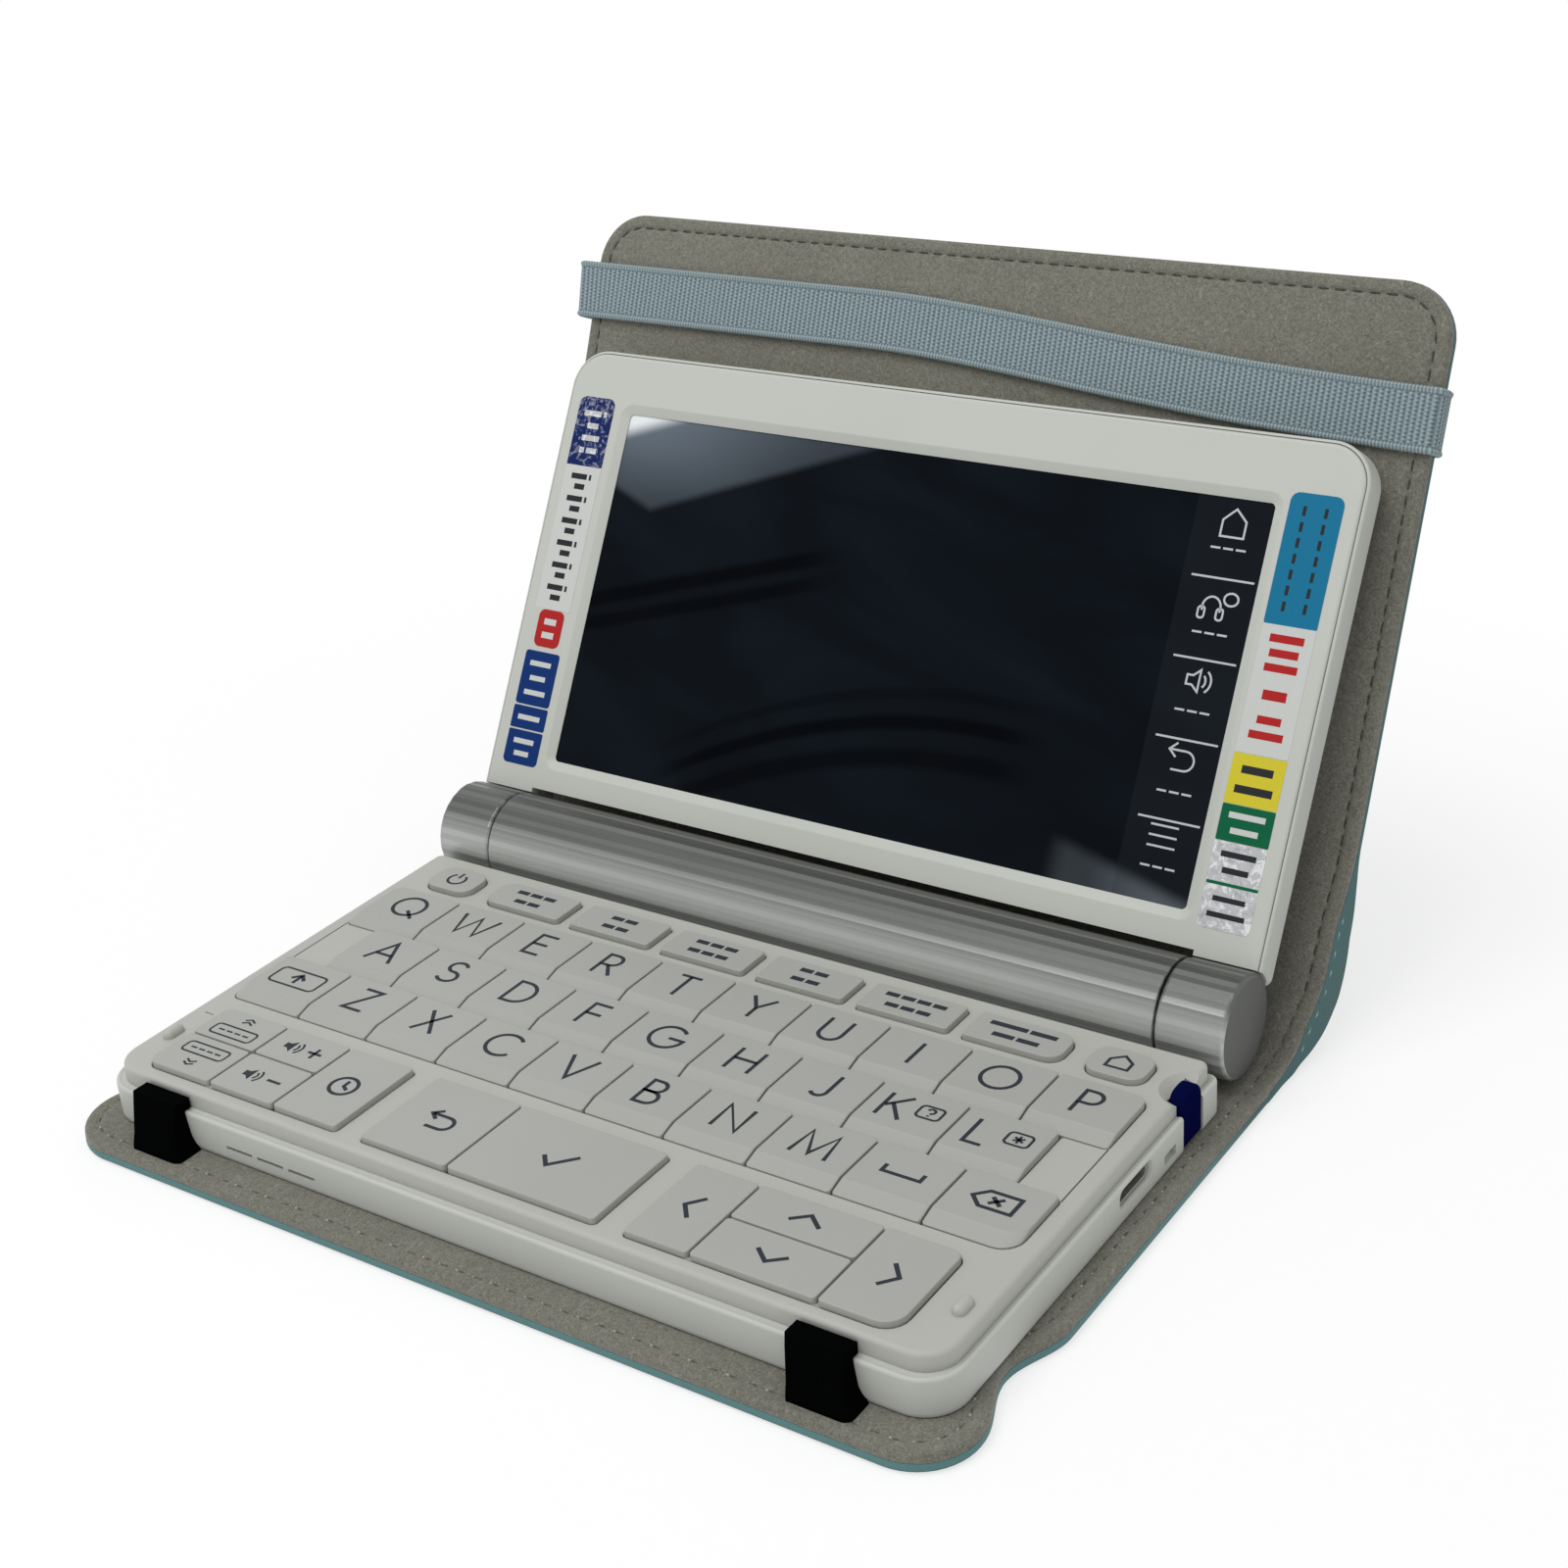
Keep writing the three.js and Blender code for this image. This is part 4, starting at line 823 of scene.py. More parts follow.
def cap_rings(box, radii, skirt, low):
    """Rings of a cap from its foot up; a step is (share of the skirt, sides' draw-in, height over the deck)."""
    left, front, right_edge, back_edge = box
    corners = rectangle(left + KEY_GAP, front + KEY_GAP, right_edge - KEY_GAP, back_edge - KEY_GAP)
    rings = [level(outline(corners, radii, 0, 5), low)]
    for share, side_in, height in CAP_STEPS:
        front_in = max(skirt * min(share, 1.0) + 1.6 * max(share - 1.0, 0.0), side_in)
        corners = rectangle(
            left + KEY_GAP + side_in, front + KEY_GAP + front_in,
            right_edge - KEY_GAP - side_in, back_edge - KEY_GAP - side_in,
        )
        rings.append(level(outline(corners, np.maximum(radii - side_in, 0.3), 0, 5), DECK_TOP + height))
    return rings


def cap(name, box, radii=CAP_R, skirt=0.0, low=6.72):
    """Key cap with one corner radius or four."""
    made = loft(name, cap_rings(box, np.broadcast_to(np.asarray(radii, float), 4), skirt, low), body_place)
    return paint(crisp(made, 40), KEY_WHITE)


def filled(name, corners, middle):
    """Flat filled shape printed on a key."""
    flat = np.asarray(corners, float) + middle
    return paint(new_object(name, body_place(level(flat, KEY_TOP + LIFT)), [list(range(len(flat)))]), INK)


def with_legend(name, parts, strokes, middle, width=0.64, fine=(), fine_width=0.34):
    """Finish a key: its caps and a drawing laid on their top, with fine strokes for small signs."""
    pieces = list(parts)
    for lines, thickness in ((strokes, width), (fine, fine_width)):
        if lines:
            drawn = drawing("legend", shifted(lines, *middle), body_place, KEY_TOP + LIFT, thickness)
            pieces.append(paint(drawn, INK))
    return finished(join(name + "_skin", pieces), name, "white_plastic", name)


def middle_of(box, skirt=0.0):
    """Middle of a cap's flat top."""
    left, front, right_edge, back_edge = box
    return ((left + right_edge) / 2, (front + skirt + back_edge) / 2)


# %% Legends of the letter block
LETTER_HIGH, SKIRT = 5.75, 2.5
SIGN_PLACE = (2.9, 0.7)
LETTER_SHIFT = {"key_k": -2.3, "key_l": -2.6}
SIGN_FRAME = [rounded_frame(3.7, 2.9, 0.7)]
QUESTION = [(arc(0, 0.4, 0.6, 0.55, 170, -60, 9) + [(0, -0.3)], False), open_line((0, -0.65), (0, -0.95))]
RAY = [open_line((-0.9, 0), (0.9, 0))]
STAR = turned_by(RAY, 30) + turned_by(RAY, 90) + turned_by(RAY, 150)
SIGNS = {
    "key_k": shifted(SIGN_FRAME + QUESTION, *SIGN_PLACE),
    "key_l": shifted(SIGN_FRAME + STAR, *SIGN_PLACE),
    "shift_key": [rounded_frame(9.4, 4.4, 0.9)],
}
PICTURES = {
    "shift_key": [open_line((-1.3, -0.1), (0, 1.2), (1.3, -0.1)), open_line((0, 1.1), (0, -1.3))],
    "space_key": [open_line((-3.0, 0.7), (-3.0, -0.9), (3.0, -0.9), (3.0, 0.7))],
    "delete_key": [closed_line((-3.4, 0), (-1.6, 1.8), (3.2, 1.8), (3.2, -1.8), (-1.6, -1.8)),
                   open_line((-0.7, 0.8), (1.1, -0.8)), open_line((-0.7, -0.8), (1.1, 0.8))],
}
print("keys with a small sign or a picture:", sorted({*SIGNS, *PICTURES}))

# %% Keys of the letter block
ROUND_CORNERS = {"shift_key": (0, 1.2), "delete_key": (1, 3.2), "key_p": (2, 2.0), "key_q": (3, 2.0)}
for name, box in letter_places.items():
    if name in PICTURES:
        drawn = PICTURES[name]
    else:
        drawn = scaled(LETTERS[name[-1]], LETTER_HIGH, (LETTER_SHIFT.get(name, 0.0), 0.0))
    corner = [CAP_R] * 4
    if name in ROUND_CORNERS:
        index, radius = ROUND_CORNERS[name]
        corner[index] = radius
    made = cap(name, box, corner, SKIRT)
    with_legend(name, [made], drawn, middle_of(box, SKIRT), 0.64, SIGNS.get(name, ()), 0.42)

# %% Keys of the rear row
POWER_ICON = [(arc(0, 0, 1.6, 1.6, 125, 415, 20), False), open_line((0, 0.4), (0, 2.1))]
HOUSE_ICON = [closed_line((-1.75, -1.5), (1.75, -1.5), (1.75, 0.4), (0, 1.85), (-1.75, 0.4))]
for name, box, icon, width in (
    ("power_key", POWER_BOX, POWER_ICON, 0.48),
    ("home_key", HOME_BOX, HOUSE_ICON, 0.5),
):
    with_legend(name, [cap(name, box, ROUND - KEY_GAP)], icon, middle_of(box), width)
SHORTCUT_BARS = [
    [[2.3, 2.3, 2.3], [2.3, 2.3]],
    [[2.3, 2.3], [2.3, 2.3]],
    [[2.3, 2.3, 2.3], [2.2, 2.2, 2.2]],
    [[2.3, 2.3], [2.3, 2.3]],
    [[2.3, 2.3, 2.3, 2.3], [2.3, 2.3, 2.3]],
    [[6.2, 4.4], [3.6, 3.6]],
]
for i, box in enumerate(SHORTCUTS):
    name = f"shortcut_key_{i + 1}"
    left_r, right_r = (ROUND - KEY_GAP if i == end else CAP_R for end in (0, 5))
    made = cap(name, box, [left_r, right_r, right_r, left_r])
    with_legend(name, [made], bars(SHORTCUT_BARS[i], 2.7), middle_of(box), 1.05)


PAD_LOW = 6.9


def pad_plate(name, box, radii):
    """Plate that joins several caps below the deck's surface."""
    corners = rectangle(box[0] + KEY_GAP, box[1] + KEY_GAP, box[2] - KEY_GAP, box[3] - KEY_GAP)
    made = loft(name, [level(outline(corners, radii, 0, 5), z) for z in (6.75, DECK_TOP - 0.2)], body_place)
    return paint(crisp(made), KEY_WHITE)


# %% Boxes of the front row
SPLIT = FRONT_ROW[0] + 9.4
LEFT_FRONT_R, LEFT_BACK_R, RIGHT_FRONT_R, RIGHT_BACK_R = 1.86, 1.66, 3.26, 1.66


def front_box(first, last, half=None):
    """Box between two edges of the front row: its front half, its back half or the whole depth."""
    front = SPLIT if half == "back" else FRONT_ROW[0]
    back_edge = SPLIT if half == "front" else FRONT_ROW[1]
    return (FRONT_X[first], front, FRONT_X[last], back_edge)


ENTRY_FRONT, ENTRY_BACK = front_box(0, 1, "front"), front_box(0, 1, "back")
VOLUME_FRONT, VOLUME_BACK = front_box(1, 2, "front"), front_box(1, 2, "back")
print("the pads are split at", SPLIT)


# %% Entry and volume pad


def boxed_chevrons(up):
    """Boxed bars with a double chevron beside them."""
    side = 1 if up else -1
    chevron = CHEVRON if up else turned_by(CHEVRON, 180)
    double = shifted(chevron, 0.0, side * -0.2) + shifted(chevron, 0.0, side * 0.6)
    return (shifted([rounded_frame(8.4, 2.6, 0.7)], 0.0, -side * 1.5) + shifted(double, 0.0, side * 1.5)
            + shifted(bars([[1.2] * 4], 1.0), 0.0, -side * 1.5))


HORN = [(-1.7, -0.6), (-0.9, -0.6), (0.0, -1.4), (0.0, 1.4), (-0.9, 0.6), (-1.7, 0.6)]
WAVES = [(arc(0.1, 0, 0.75, 0.9, -55, 55, 8), False), (arc(0.1, 0, 1.5, 1.6, -55, 55, 10), False)]
PLUS = [open_line((-1.3, 0), (1.3, 0)), open_line((0, -1.3), (0, 1.3))]
HORN_X, SIGN_X = VOLUME_FRONT[0] + 4.8, VOLUME_FRONT[0] + 9.1
QUIETER_Y, LOUDER_Y = SPLIT - 4.7, SPLIT + 4.0
legend = (
    shifted(boxed_chevrons(False), *middle_of(ENTRY_FRONT))
    + shifted(boxed_chevrons(True), *middle_of(ENTRY_BACK))
    + shifted(WAVES, HORN_X, QUIETER_Y)
    + shifted(WAVES, HORN_X, LOUDER_Y)
)
signs = shifted(PLUS[:1], SIGN_X, QUIETER_Y) + shifted(PLUS, SIGN_X, LOUDER_Y)
with_legend("entry_volume_pad", [
    pad_plate("plate", front_box(0, 2), [LEFT_FRONT_R, CAP_R, CAP_R, LEFT_BACK_R]),
    cap("entry_front", ENTRY_FRONT, [LEFT_FRONT_R, CAP_R, CAP_R, CAP_R], low=PAD_LOW),
    cap("entry_back", ENTRY_BACK, [CAP_R, CAP_R, CAP_R, LEFT_BACK_R], low=PAD_LOW),
    cap("volume_front", VOLUME_FRONT, low=PAD_LOW),
    cap("volume_back", VOLUME_BACK, low=PAD_LOW),
    filled("horn", HORN, (HORN_X, QUIETER_Y)),
    filled("horn", HORN, (HORN_X, LOUDER_Y)),
], signs, (0.0, 0.0), 0.55, legend, 0.36)

# %% Keys for history, back and enter
CLOCK = [(arc(0, 0, 2.2, 2.2, 0, 345, 24), True), open_line((0, 1.4), (0, 0), (1.1, -0.7))]
BACK_ARROW = [([(-0.9, 2.0), (-2.3, 0.9), (-0.9, -0.2)], False),
              ([(-2.1, 0.9), (1.0, 0.9)] + arc(1.0, -0.6, 1.5, 1.5, 90, -90, 12) + [(-1.4, -2.1)], False)]
TICK = [open_line((-2.4, 0.2), (-0.7, -1.7), (2.6, 1.9))]
for name, box, icon, width in (
    ("history_key", front_box(2, 3), CLOCK, 0.6),
    ("back_key", front_box(4, 5), BACK_ARROW, 0.62),
    ("enter_key", front_box(5, 6), TICK, 0.68),
):
    with_legend(name, [cap(name, box)], icon, middle_of(box), width)

# %% Arrow pad
ARROW = [open_line((-2.4, -0.85), (0, 1.15), (2.4, -0.85))]
RIGHT_RADII = [CAP_R, RIGHT_FRONT_R, RIGHT_BACK_R, CAP_R]
arrow_parts, legend = [pad_plate("plate", front_box(7, 10), RIGHT_RADII)], []
for box, degrees, radii in (
    (front_box(7, 8), 90, CAP_R),
    (front_box(8, 9, "front"), 180, CAP_R),
    (front_box(8, 9, "back"), 0, CAP_R),
    (front_box(9, 10), 270, RIGHT_RADII),
):
    arrow_parts.append(cap("arrow", box, radii, low=PAD_LOW))
    legend += shifted(turned_by(ARROW, degrees), *middle_of(box))
with_legend("arrow_pad", arrow_parts, legend, (0.0, 0.0), 0.66)
print("all keys done")

# %% [markdown]
# ## Battery barrel
# The barrel and its end caps are painted silver and ribbed lengthwise: fifty-two narrow flats that tip a
# little to one side and the other in turn, so that the light falls on them as stripes. The radius goes r0,
# r0 - d, r0, ... and the depth d varies from rib to rib, which makes the stripes uneven. Painted reflection
# stripes make some flats a little brighter than others: flat k has the tone frac(0.618 k), which jumps about
# evenly between 0 and 1. A painted highlight makes the front paler, and painted shade darkens the top.

# %% Silver paint
SIDES = 52


def silver_paint(name, colour, rough, painted_rib_stripes=0.0):
    """Satin paint with fine metal flakes, which are small cells of slightly different tone.

    The last argument is the strength of the painted reflection stripes, one tone for each flat; with it come a
    painted highlight in front and painted shade on top."""
    tree = Tree(name)
    flakes = tree.cells(9000.0)
    wide = tree.noise(60.0, 2.0)
    tone = 0.86 + 0.2 * flakes + 0.06 * (wide - 0.5)
    shade = tree.mix(tone.ramp(0.86, 1.06), toned(colour, 0.8), colour)
    if painted_rib_stripes:
        x, y, z = tree.axes()
        angle = (z - HINGE_Z * MILLI).math("ARCTAN2", y - HINGE_Y * MILLI)
        flat = (angle * (SIDES / (2 * np.pi)) + (SIDES - 0.5)).whole()
        own = (flat * 0.618034).part()
        amount = x.absolute().ramp(0.0736, 0.0731) * painted_rib_stripes
        # Painted reflection stripes: each flat is painted a little darker or lighter.
        shade = tree.mix(own.ramp(0.5, 0.0) * amount, shade, toned(colour, 0.42))
        shade = tree.mix(own.ramp(0.5, 1.0) * amount, shade, toned(colour, 1.75))
        # Painted highlight on the front of the barrel and painted shade on its top.
        above = (z - HINGE_Z * MILLI).math("ARCTAN2", HINGE_Y * MILLI - y)
        painted_highlight = above.ramp(0.9, 0.35) * above.ramp(-1.5, -0.5) * (0.55 + 0.45 * above.near(0.15, 0.7))
        shade = tree.mix((1.0 - painted_highlight) * 0.26, shade, (0.0, 0.0, 0.0))
        shade = tree.mix(painted_highlight * (0.5 + 0.34 * own), shade, srgb(192, 194, 192))
    return tree.finish(shade, rough + 0.1 * (wide - 0.5), tree.bump(flakes, 0.000006), Metallic=0.45,
                       Specular_IOR_Level=0.12)


SILVER = silver_paint("silver_paint", srgb(119, 121, 118), 0.33, 0.4)
SILVER_DISC = silver_paint("silver_disc", srgb(98, 100, 97), 0.5)
BARREL_R, RIB = 8.17, 0.13
RIB_DEPTHS = RIB * np.random.default_rng(7).uniform(0.15, 1.0, SIDES // 2)


def ribbed(name, start, end, bevel):
    """Ribbed bar along x with bevelled rims; the ribs grow shallow, to two fifths, at the rims' inner edge."""
    side = np.arange(SIDES)
    angle = (side + 0.5) * 2 * np.pi / SIDES
    wave = np.where(side % 2 == 0, 0.0, -RIB_DEPTHS[side // 2])
    turn = np.linspace(0, 1, 4)[::-1] * np.pi / 2
    steps = [(start + bevel * (1 - np.sin(a)), bevel * (1 - np.cos(a))) for a in turn]
    tail = [(start + end - x, inset) for x, inset in steps[::-1]]
    rings = []
    for x, inset in steps + tail:
        radius = BARREL_R - inset + wave * (1 - inset / bevel * 0.6)
        rings.append(upright(circle(BARREL_Y, BARREL_Z, radius, angle), x))
    return loft(name, rings, body_place)


def hollow_tube(name):
    """The barrel's whole tube, ribbed outside and bored for the cells."""
    tube = ribbed(name, -62.85, 62.85, 0.25)
    return cut(tube, [rod("bore", 7.45, -59.85, 59.85, BARREL_Y, BARREL_Z, 64)])


print("rib depths from", round(RIB_DEPTHS.min(), 3), "to", round(RIB_DEPTHS.max(), 3))

# %% Barrel with its pins
DOOR_END, DOOR_FRONT, DOOR_BACK, DOOR_HIGH = 51.75, BARREL_Y + 5.3, BARREL_Y + 9.5, 19.0
barrel = hollow_tube("barrel")
cut(barrel, [block("door_room", (-DOOR_END, DOOR_FRONT, 0.0), (DOOR_END, DOOR_BACK, DOOR_HIGH), body_place)])
crisp(barrel, 3.0, weighted=False)
pins = [rod("pin", 2.5, start, start + 9.0, BARREL_Y, BARREL_Z, 32, bevel=0.2) for start in (62.0, -71.0)]
for pin in pins:
    crisp(pin)
barrel = join("battery_barrel_skin", [barrel, *pins])
finished(barrel, "battery_barrel", "silver_plastic", "base", SILVER)

# %% Battery door
DOOR_GAP = 0.22
door = hollow_tube("battery_door_skin")
door_low = (-DOOR_END + DOOR_GAP, DOOR_FRONT + DOOR_GAP, 0.0)
door_high = (DOOR_END - DOOR_GAP, DOOR_BACK, DOOR_HIGH)
cut(door, [block("door_tool", door_low, door_high, body_place)], "INTERSECT")
crisp(door, 3.0, weighted=False)
finished(door, "battery_door", "silver_plastic", "base", SILVER)

# %% End caps of the barrel
def end_cap(name, side):
    """Ribbed cap with a bevelled rim and a plain flat disc; it is bored for the barrel's pin."""
    made = ribbed(name, *sorted((side * 63.15, side * 74.0)), 0.6)
    crisp(made, 3.0, weighted=False)
    cut(made, [rod("pin_bore", 2.8, *sorted((side * 62.0, side * 71.4)), BARREL_Y, BARREL_Z, 32)])
    made.data.polygons.foreach_set("use_smooth", np.zeros(len(made.data.polygons), bool))
    paint(made, SILVER, SILVER_DISC)
    normals = np.zeros(len(made.data.polygons) * 3)
    made.data.polygons.foreach_get("normal", normals)
    disc = (normals.reshape(-1, 3)[:, 0] * side > 0.99).astype(np.int32)
    made.data.polygons.foreach_set("material_index", disc)
    return made


for name, side in (("left_hinge_cap", -1), ("right_hinge_cap", 1)):
    finished(end_cap(name + "_skin", side), name, "silver_plastic", "lid")

# %% [markdown]
# ## Lid
# The lid's outer shell is a shallow box with rounded edges, notched at its foot for the barrel. The bezel
# sits a hair lower inside it, so a fine seam runs round just inside the edge. Its window slopes down to the
# glass.

# %% Lid's shell
LID_FOOT, LID_TOP = 6.0, 87.1
LID_RADII = [1.6, 1.6, 6.8, 6.8]
lid_corners = rectangle(-74.0, LID_FOOT, 74.0, LID_TOP)
lid_back_profile = (
    [(-1.3 * (1 - np.cos(a)), -6.4 + 1.3 * np.sin(a)) for a in np.linspace(-np.pi / 2, 0, 7)]
    + [(0.0, -6.2), (0.0, -2.1)]
    + quarter(0.0, -2.0, 0.42, 0.42)
    + [(-0.47, -1.6), (-0.51, -1.72), (-0.51, -3.35)]
)


def foot_room():
    """Cutters for the barrel's room at the lid's foot."""
    notch = block("notch", (-63.15, 0.0, -9.0), (63.15, 9.2, 0.5), lid_place)
    return [notch, rod("round_room", 8.47, -75.0, 75.0, 0.0, 0.0, 64, lid_place)]


lid_shell = loft("lid_back_cover_skin", rings_of(lid_corners, LID_RADII, lid_back_profile, 12), lid_place)
cavity_outline = outline(rectangle(-71.8, 11.4, 71.8, 84.9), 5.8)
cavity = loft("cavity", [level(cavity_outline, w) for w in (-6.3, -1.0)], lid_place)
cut(lid_shell, [cavity, *foot_room()])
crisp(lid_shell)
finished(lid_shell, "lid_back_cover", "white_plastic", "lid", WHITE)

# %% Bezel
SCREEN_WIDE, SCREEN_FOOT, SCREEN_TOP = 60.2, 14.6, 76.6
SCREEN = rectangle(-SCREEN_WIDE, SCREEN_FOOT, SCREEN_WIDE, SCREEN_TOP)
BEZEL_FACE = -1.2
bezel_profile = [(-0.6, -3.2), (-0.6, -1.8)] + quarter(-0.6, -1.7, 0.55, 0.5, 6) + [(-1.4, BEZEL_FACE)]
bezel = loft("lid_bezel_skin", rings_of(lid_corners, LID_RADII, bezel_profile, 12), lid_place)
pocket = loft("pocket", [level(outline(SCREEN, 0.8, 1.95), w) for w in (-4.0, -2.0)], lid_place)
window_slope = [(0.0, -4.0), (0.0, -2.0), (0.06, -1.9), (1.45, -1.28), (1.6, -1.215), (1.78, -1.19), (1.8, 0.0)]
window = loft("window", rings_of(SCREEN, 0.8, window_slope), lid_place)
cut(bezel, [pocket, window, *foot_room()])
crisp(bezel)
finished(bezel, "lid_bezel", "white_plastic", "lid", WHITE)

# %% [markdown]
# ## Screen
# The screen is off: a near-black panel behind glossy glass, with a paler strip of touch symbols at its
# right. The panel's tone is worked out in the lid's own plane: v = (y - y0) cos a + (z - z0) sin a. A soft
# reflection of the room is painted on it: a pale wedge above the line v = 60.6 + 0.38 |x + 52|, dark curved
# stripes, a bright top left corner, faint streaky marks and a haze at the lower right.

# %% Painted reflections of the room on the glass
def painted_dark_stripes(across, along):
    """Painted reflection: two bundles of dark stripes, the upper along v = 50.6 + 0.31 (x + 41.5), the lower
    along a curve.
    """
    upper = along - (50.6 + (across + 41.5) * 0.31)
    upper_dark = (upper.near(-1.2, 2.2) + upper.near(-5.6, 2.0) * 0.9) * across.ramp(-9.0, -22.0)
    lower = along - (35.3 + (across - 10.0) * 0.12 - (across - 10.0) * (across - 10.0) * 0.005)
    lower_dark = lower.near(-1.2, 1.9) + lower.near(-7.0, 2.6) * 0.8 + lower.near(3.6, 1.4) * 0.5
    lower_dark = lower_dark * across.ramp(-42.0, -30.0) * across.ramp(34.0, 22.0)
    return (upper_dark + lower_dark).least(1.0)


def painted_pale_wedge(across, along):
    """Painted reflection: a wedge above the line v = 60.6 + 0.38 |x + 52|, palest at its upper left."""
    height = along - (60.6 + (across + 52.0).absolute() * 0.38)
    fade = (0.25 + 0.75 * across.ramp(-12.0, -58.0)) * (0.3 + 0.7 * along.ramp(60.0, 77.0))
    return height.ramp(-0.8, 1.2) * fade


def painted_low_haze(across, along):
    """Painted reflection: a haze below the line v = 21.3 - 0.24 (x - 37), stronger to the right."""
    under = 21.3 - (across - 37.0) * 0.24 - along
    return under.ramp(-1.0, 2.0) * across.ramp(35.0, 40.0) * (0.3 + 0.7 * across.ramp(42.0, 56.0))


# %% Screen material
def screen_material():
    """Near-black panel with a painted reflection of the room, faint and streaky, and the paler strip of symbols.
    """
    tree = Tree("screen_glass")
    x, y, z = tree.axes()
    across = x * 1000.0
    rise, run = float(np.sin(LID_LEAN)), float(np.cos(LID_LEAN))
    along = (y * 1000.0 - HINGE_Y) * run + (z * 1000.0 - HINGE_Z) * rise
    # Faint streaky painted reflections of the room.
    reflection_streak_place = tree.vector(across * 0.02, along * 0.055 + across * 0.012, 0.0)
    reflection_streaks = tree.noise(1.0, 3.0, 0.5, reflection_streak_place, 0.6)
    base = tree.mix(reflection_streaks.ramp(0.3, 0.7), (0.0022, 0.0036, 0.0058), (0.0046, 0.0075, 0.0115))
    # Painted reflections of the room: dark stripes, a pale wedge, a bright top left corner and a haze.
    base = tree.mix(painted_dark_stripes(across, along) * 0.9, base, (0.0001, 0.0003, 0.0012))
    wedge = painted_pale_wedge(across, along) * (0.8 + 0.4 * (reflection_streaks - 0.5))
    base = tree.mix(wedge, base, (0.15, 0.185, 0.225))
    corner = ((across + SCREEN_WIDE) * 0.35 + (SCREEN_TOP - along)).ramp(4.8, 1.6)
    base = tree.mix(corner * 0.95, base, (0.78, 0.82, 0.84))
    haze = painted_low_haze(across, along) * (0.7 + 0.5 * (reflection_streaks - 0.5))
    base = tree.mix(haze, base, (0.16, 0.185, 0.215))
    base = tree.mix(across.ramp(47.6, 47.9) * 0.25, base, (0.02, 0.023, 0.027))
    smudge = tree.noise(90.0, 3.0)
    return tree.finish(base, 0.06 + 0.06 * smudge, None, Specular_IOR_Level=0.03)


SCREEN_GLASS = screen_material()
SCREEN_INK = plastic("screen_symbols", srgb(186, 190, 192), 0.3, specular=0.15)
print("screen materials:", SCREEN_GLASS.name, SCREEN_INK.name)

# %% Glass and panel
GLASS_TOP = -2.15
glass_edge = [(1.8, -3.05), (1.8, GLASS_TOP - 0.1), (1.7, GLASS_TOP)]
glass = loft("glass", rings_of(SCREEN, 0.8, glass_edge), lid_place)
crisp(glass)
panel = loft("panel", [level(outline(SCREEN, 0.8), w) for w in (-6.15, -3.0)], lid_place)
crisp(panel)
paint(glass, SCREEN_GLASS)
paint(panel, SCREEN_GLASS)
print("glass and panel:", len(glass.data.polygons) + len(panel.data.polygons), "faces")

# %% Symbols on the strip
headphones = [
    (arc(0, 0.1, 1.7, 1.9, 200, -20, 18), False),
    (outline(rectangle(-2.3, -1.9, -1.1, 0.1), 0.5, 0, 3).tolist(), True),
    (outline(rectangle(1.1, -1.9, 2.3, 0.1), 0.5, 0, 3).tolist(), True),
    (arc(3.3, 1.9, 1.3, 1.1, 0, 345, 16), True),
]
big_house = [closed_line((-1.9, -2.0), (1.9, -2.0), (1.9, 0.5), (0, 2.3), (-1.9, 0.5))]
big_speaker = scaled([(HORN, True), *WAVES], 1.2, (0.0, 0.0))
big_back = [([(-0.9, 2.3), (-2.1, 1.2), (-0.9, 0.1)], False),
            ([(-1.9, 1.2), (0.7, 1.2)] + arc(0.7, -0.3, 1.5, 1.5, 90, -90, 12) + [(-1.3, -1.8)], False)]
menu_lines = [open_line((-2.3, y), (2.3, y)) for y in (1.6, 0.0, -1.6)]
symbols = []
for icon, x, v in (
    (big_house, 54.3, 72.7),
    (scaled(headphones, 0.88, (0.0, 0.0)), 54.6, 60.2),
    (big_speaker, 54.2, 48.6),
    (big_back, 54.1, 36.6),
    (menu_lines, 54.0, 24.6),
):
    symbols += shifted(icon, x, v)
symbols += [open_line((49.3, v), (59.5, v)) for v in (64.35, 51.85, 39.5, 27.1)]
for v in (68.9, 55.9, 43.9, 31.4, 19.9):
    symbols += shifted(bars([[1.6, 1.6, 1.6]], 1.0), 54.2, v)
drawn = drawing("symbols", symbols, lid_place, GLASS_TOP + 0.015, 0.32)
paint(drawn, SCREEN_INK)
screen = join("display_module_skin", [glass, panel, drawn])
finished(screen, "display_module", "screen_glass", "lid")

# %% [markdown]
# ## Labels
# Glossy stickers run down both sides of the bezel: blocks of colour with short bars for their lines of
# words. The film is slightly wrinkled, so the light breaks up on it. The navy and silver films also get
# painted highlights and painted shade in crumpled patches.

# %% Films
def film(name, colour, painted_glint=0.0):
    """Printed film with faint print grain and soft wrinkles; the last argument adds painted highlights
    and painted shade in crumpled patches.
    """
    tree = Tree(name)
    grain = tree.noise(3000.0, 2.0)
    wrinkle = tree.noise(420.0, 3.0, 0.6)
    shade = tree.mix(grain, toned(colour, 0.94), toned(colour, 1.05))
    if painted_glint:
        crumple = tree.noise(700.0, 4.0, 0.7, None, 1.2)
        # Painted highlights on the crumples and painted shade beside them.
        shade = tree.mix(crumple.ramp(0.5, 0.62) * painted_glint, shade, srgb(228, 230, 232))
        shade = tree.mix(crumple.ramp(0.44, 0.34) * painted_glint * 0.5, shade, toned(colour, 0.45))
    return tree.finish(shade, 0.25 + 0.15 * wrinkle, tree.bump(wrinkle, 0.00006, 0.6), Specular_IOR_Level=0.1)


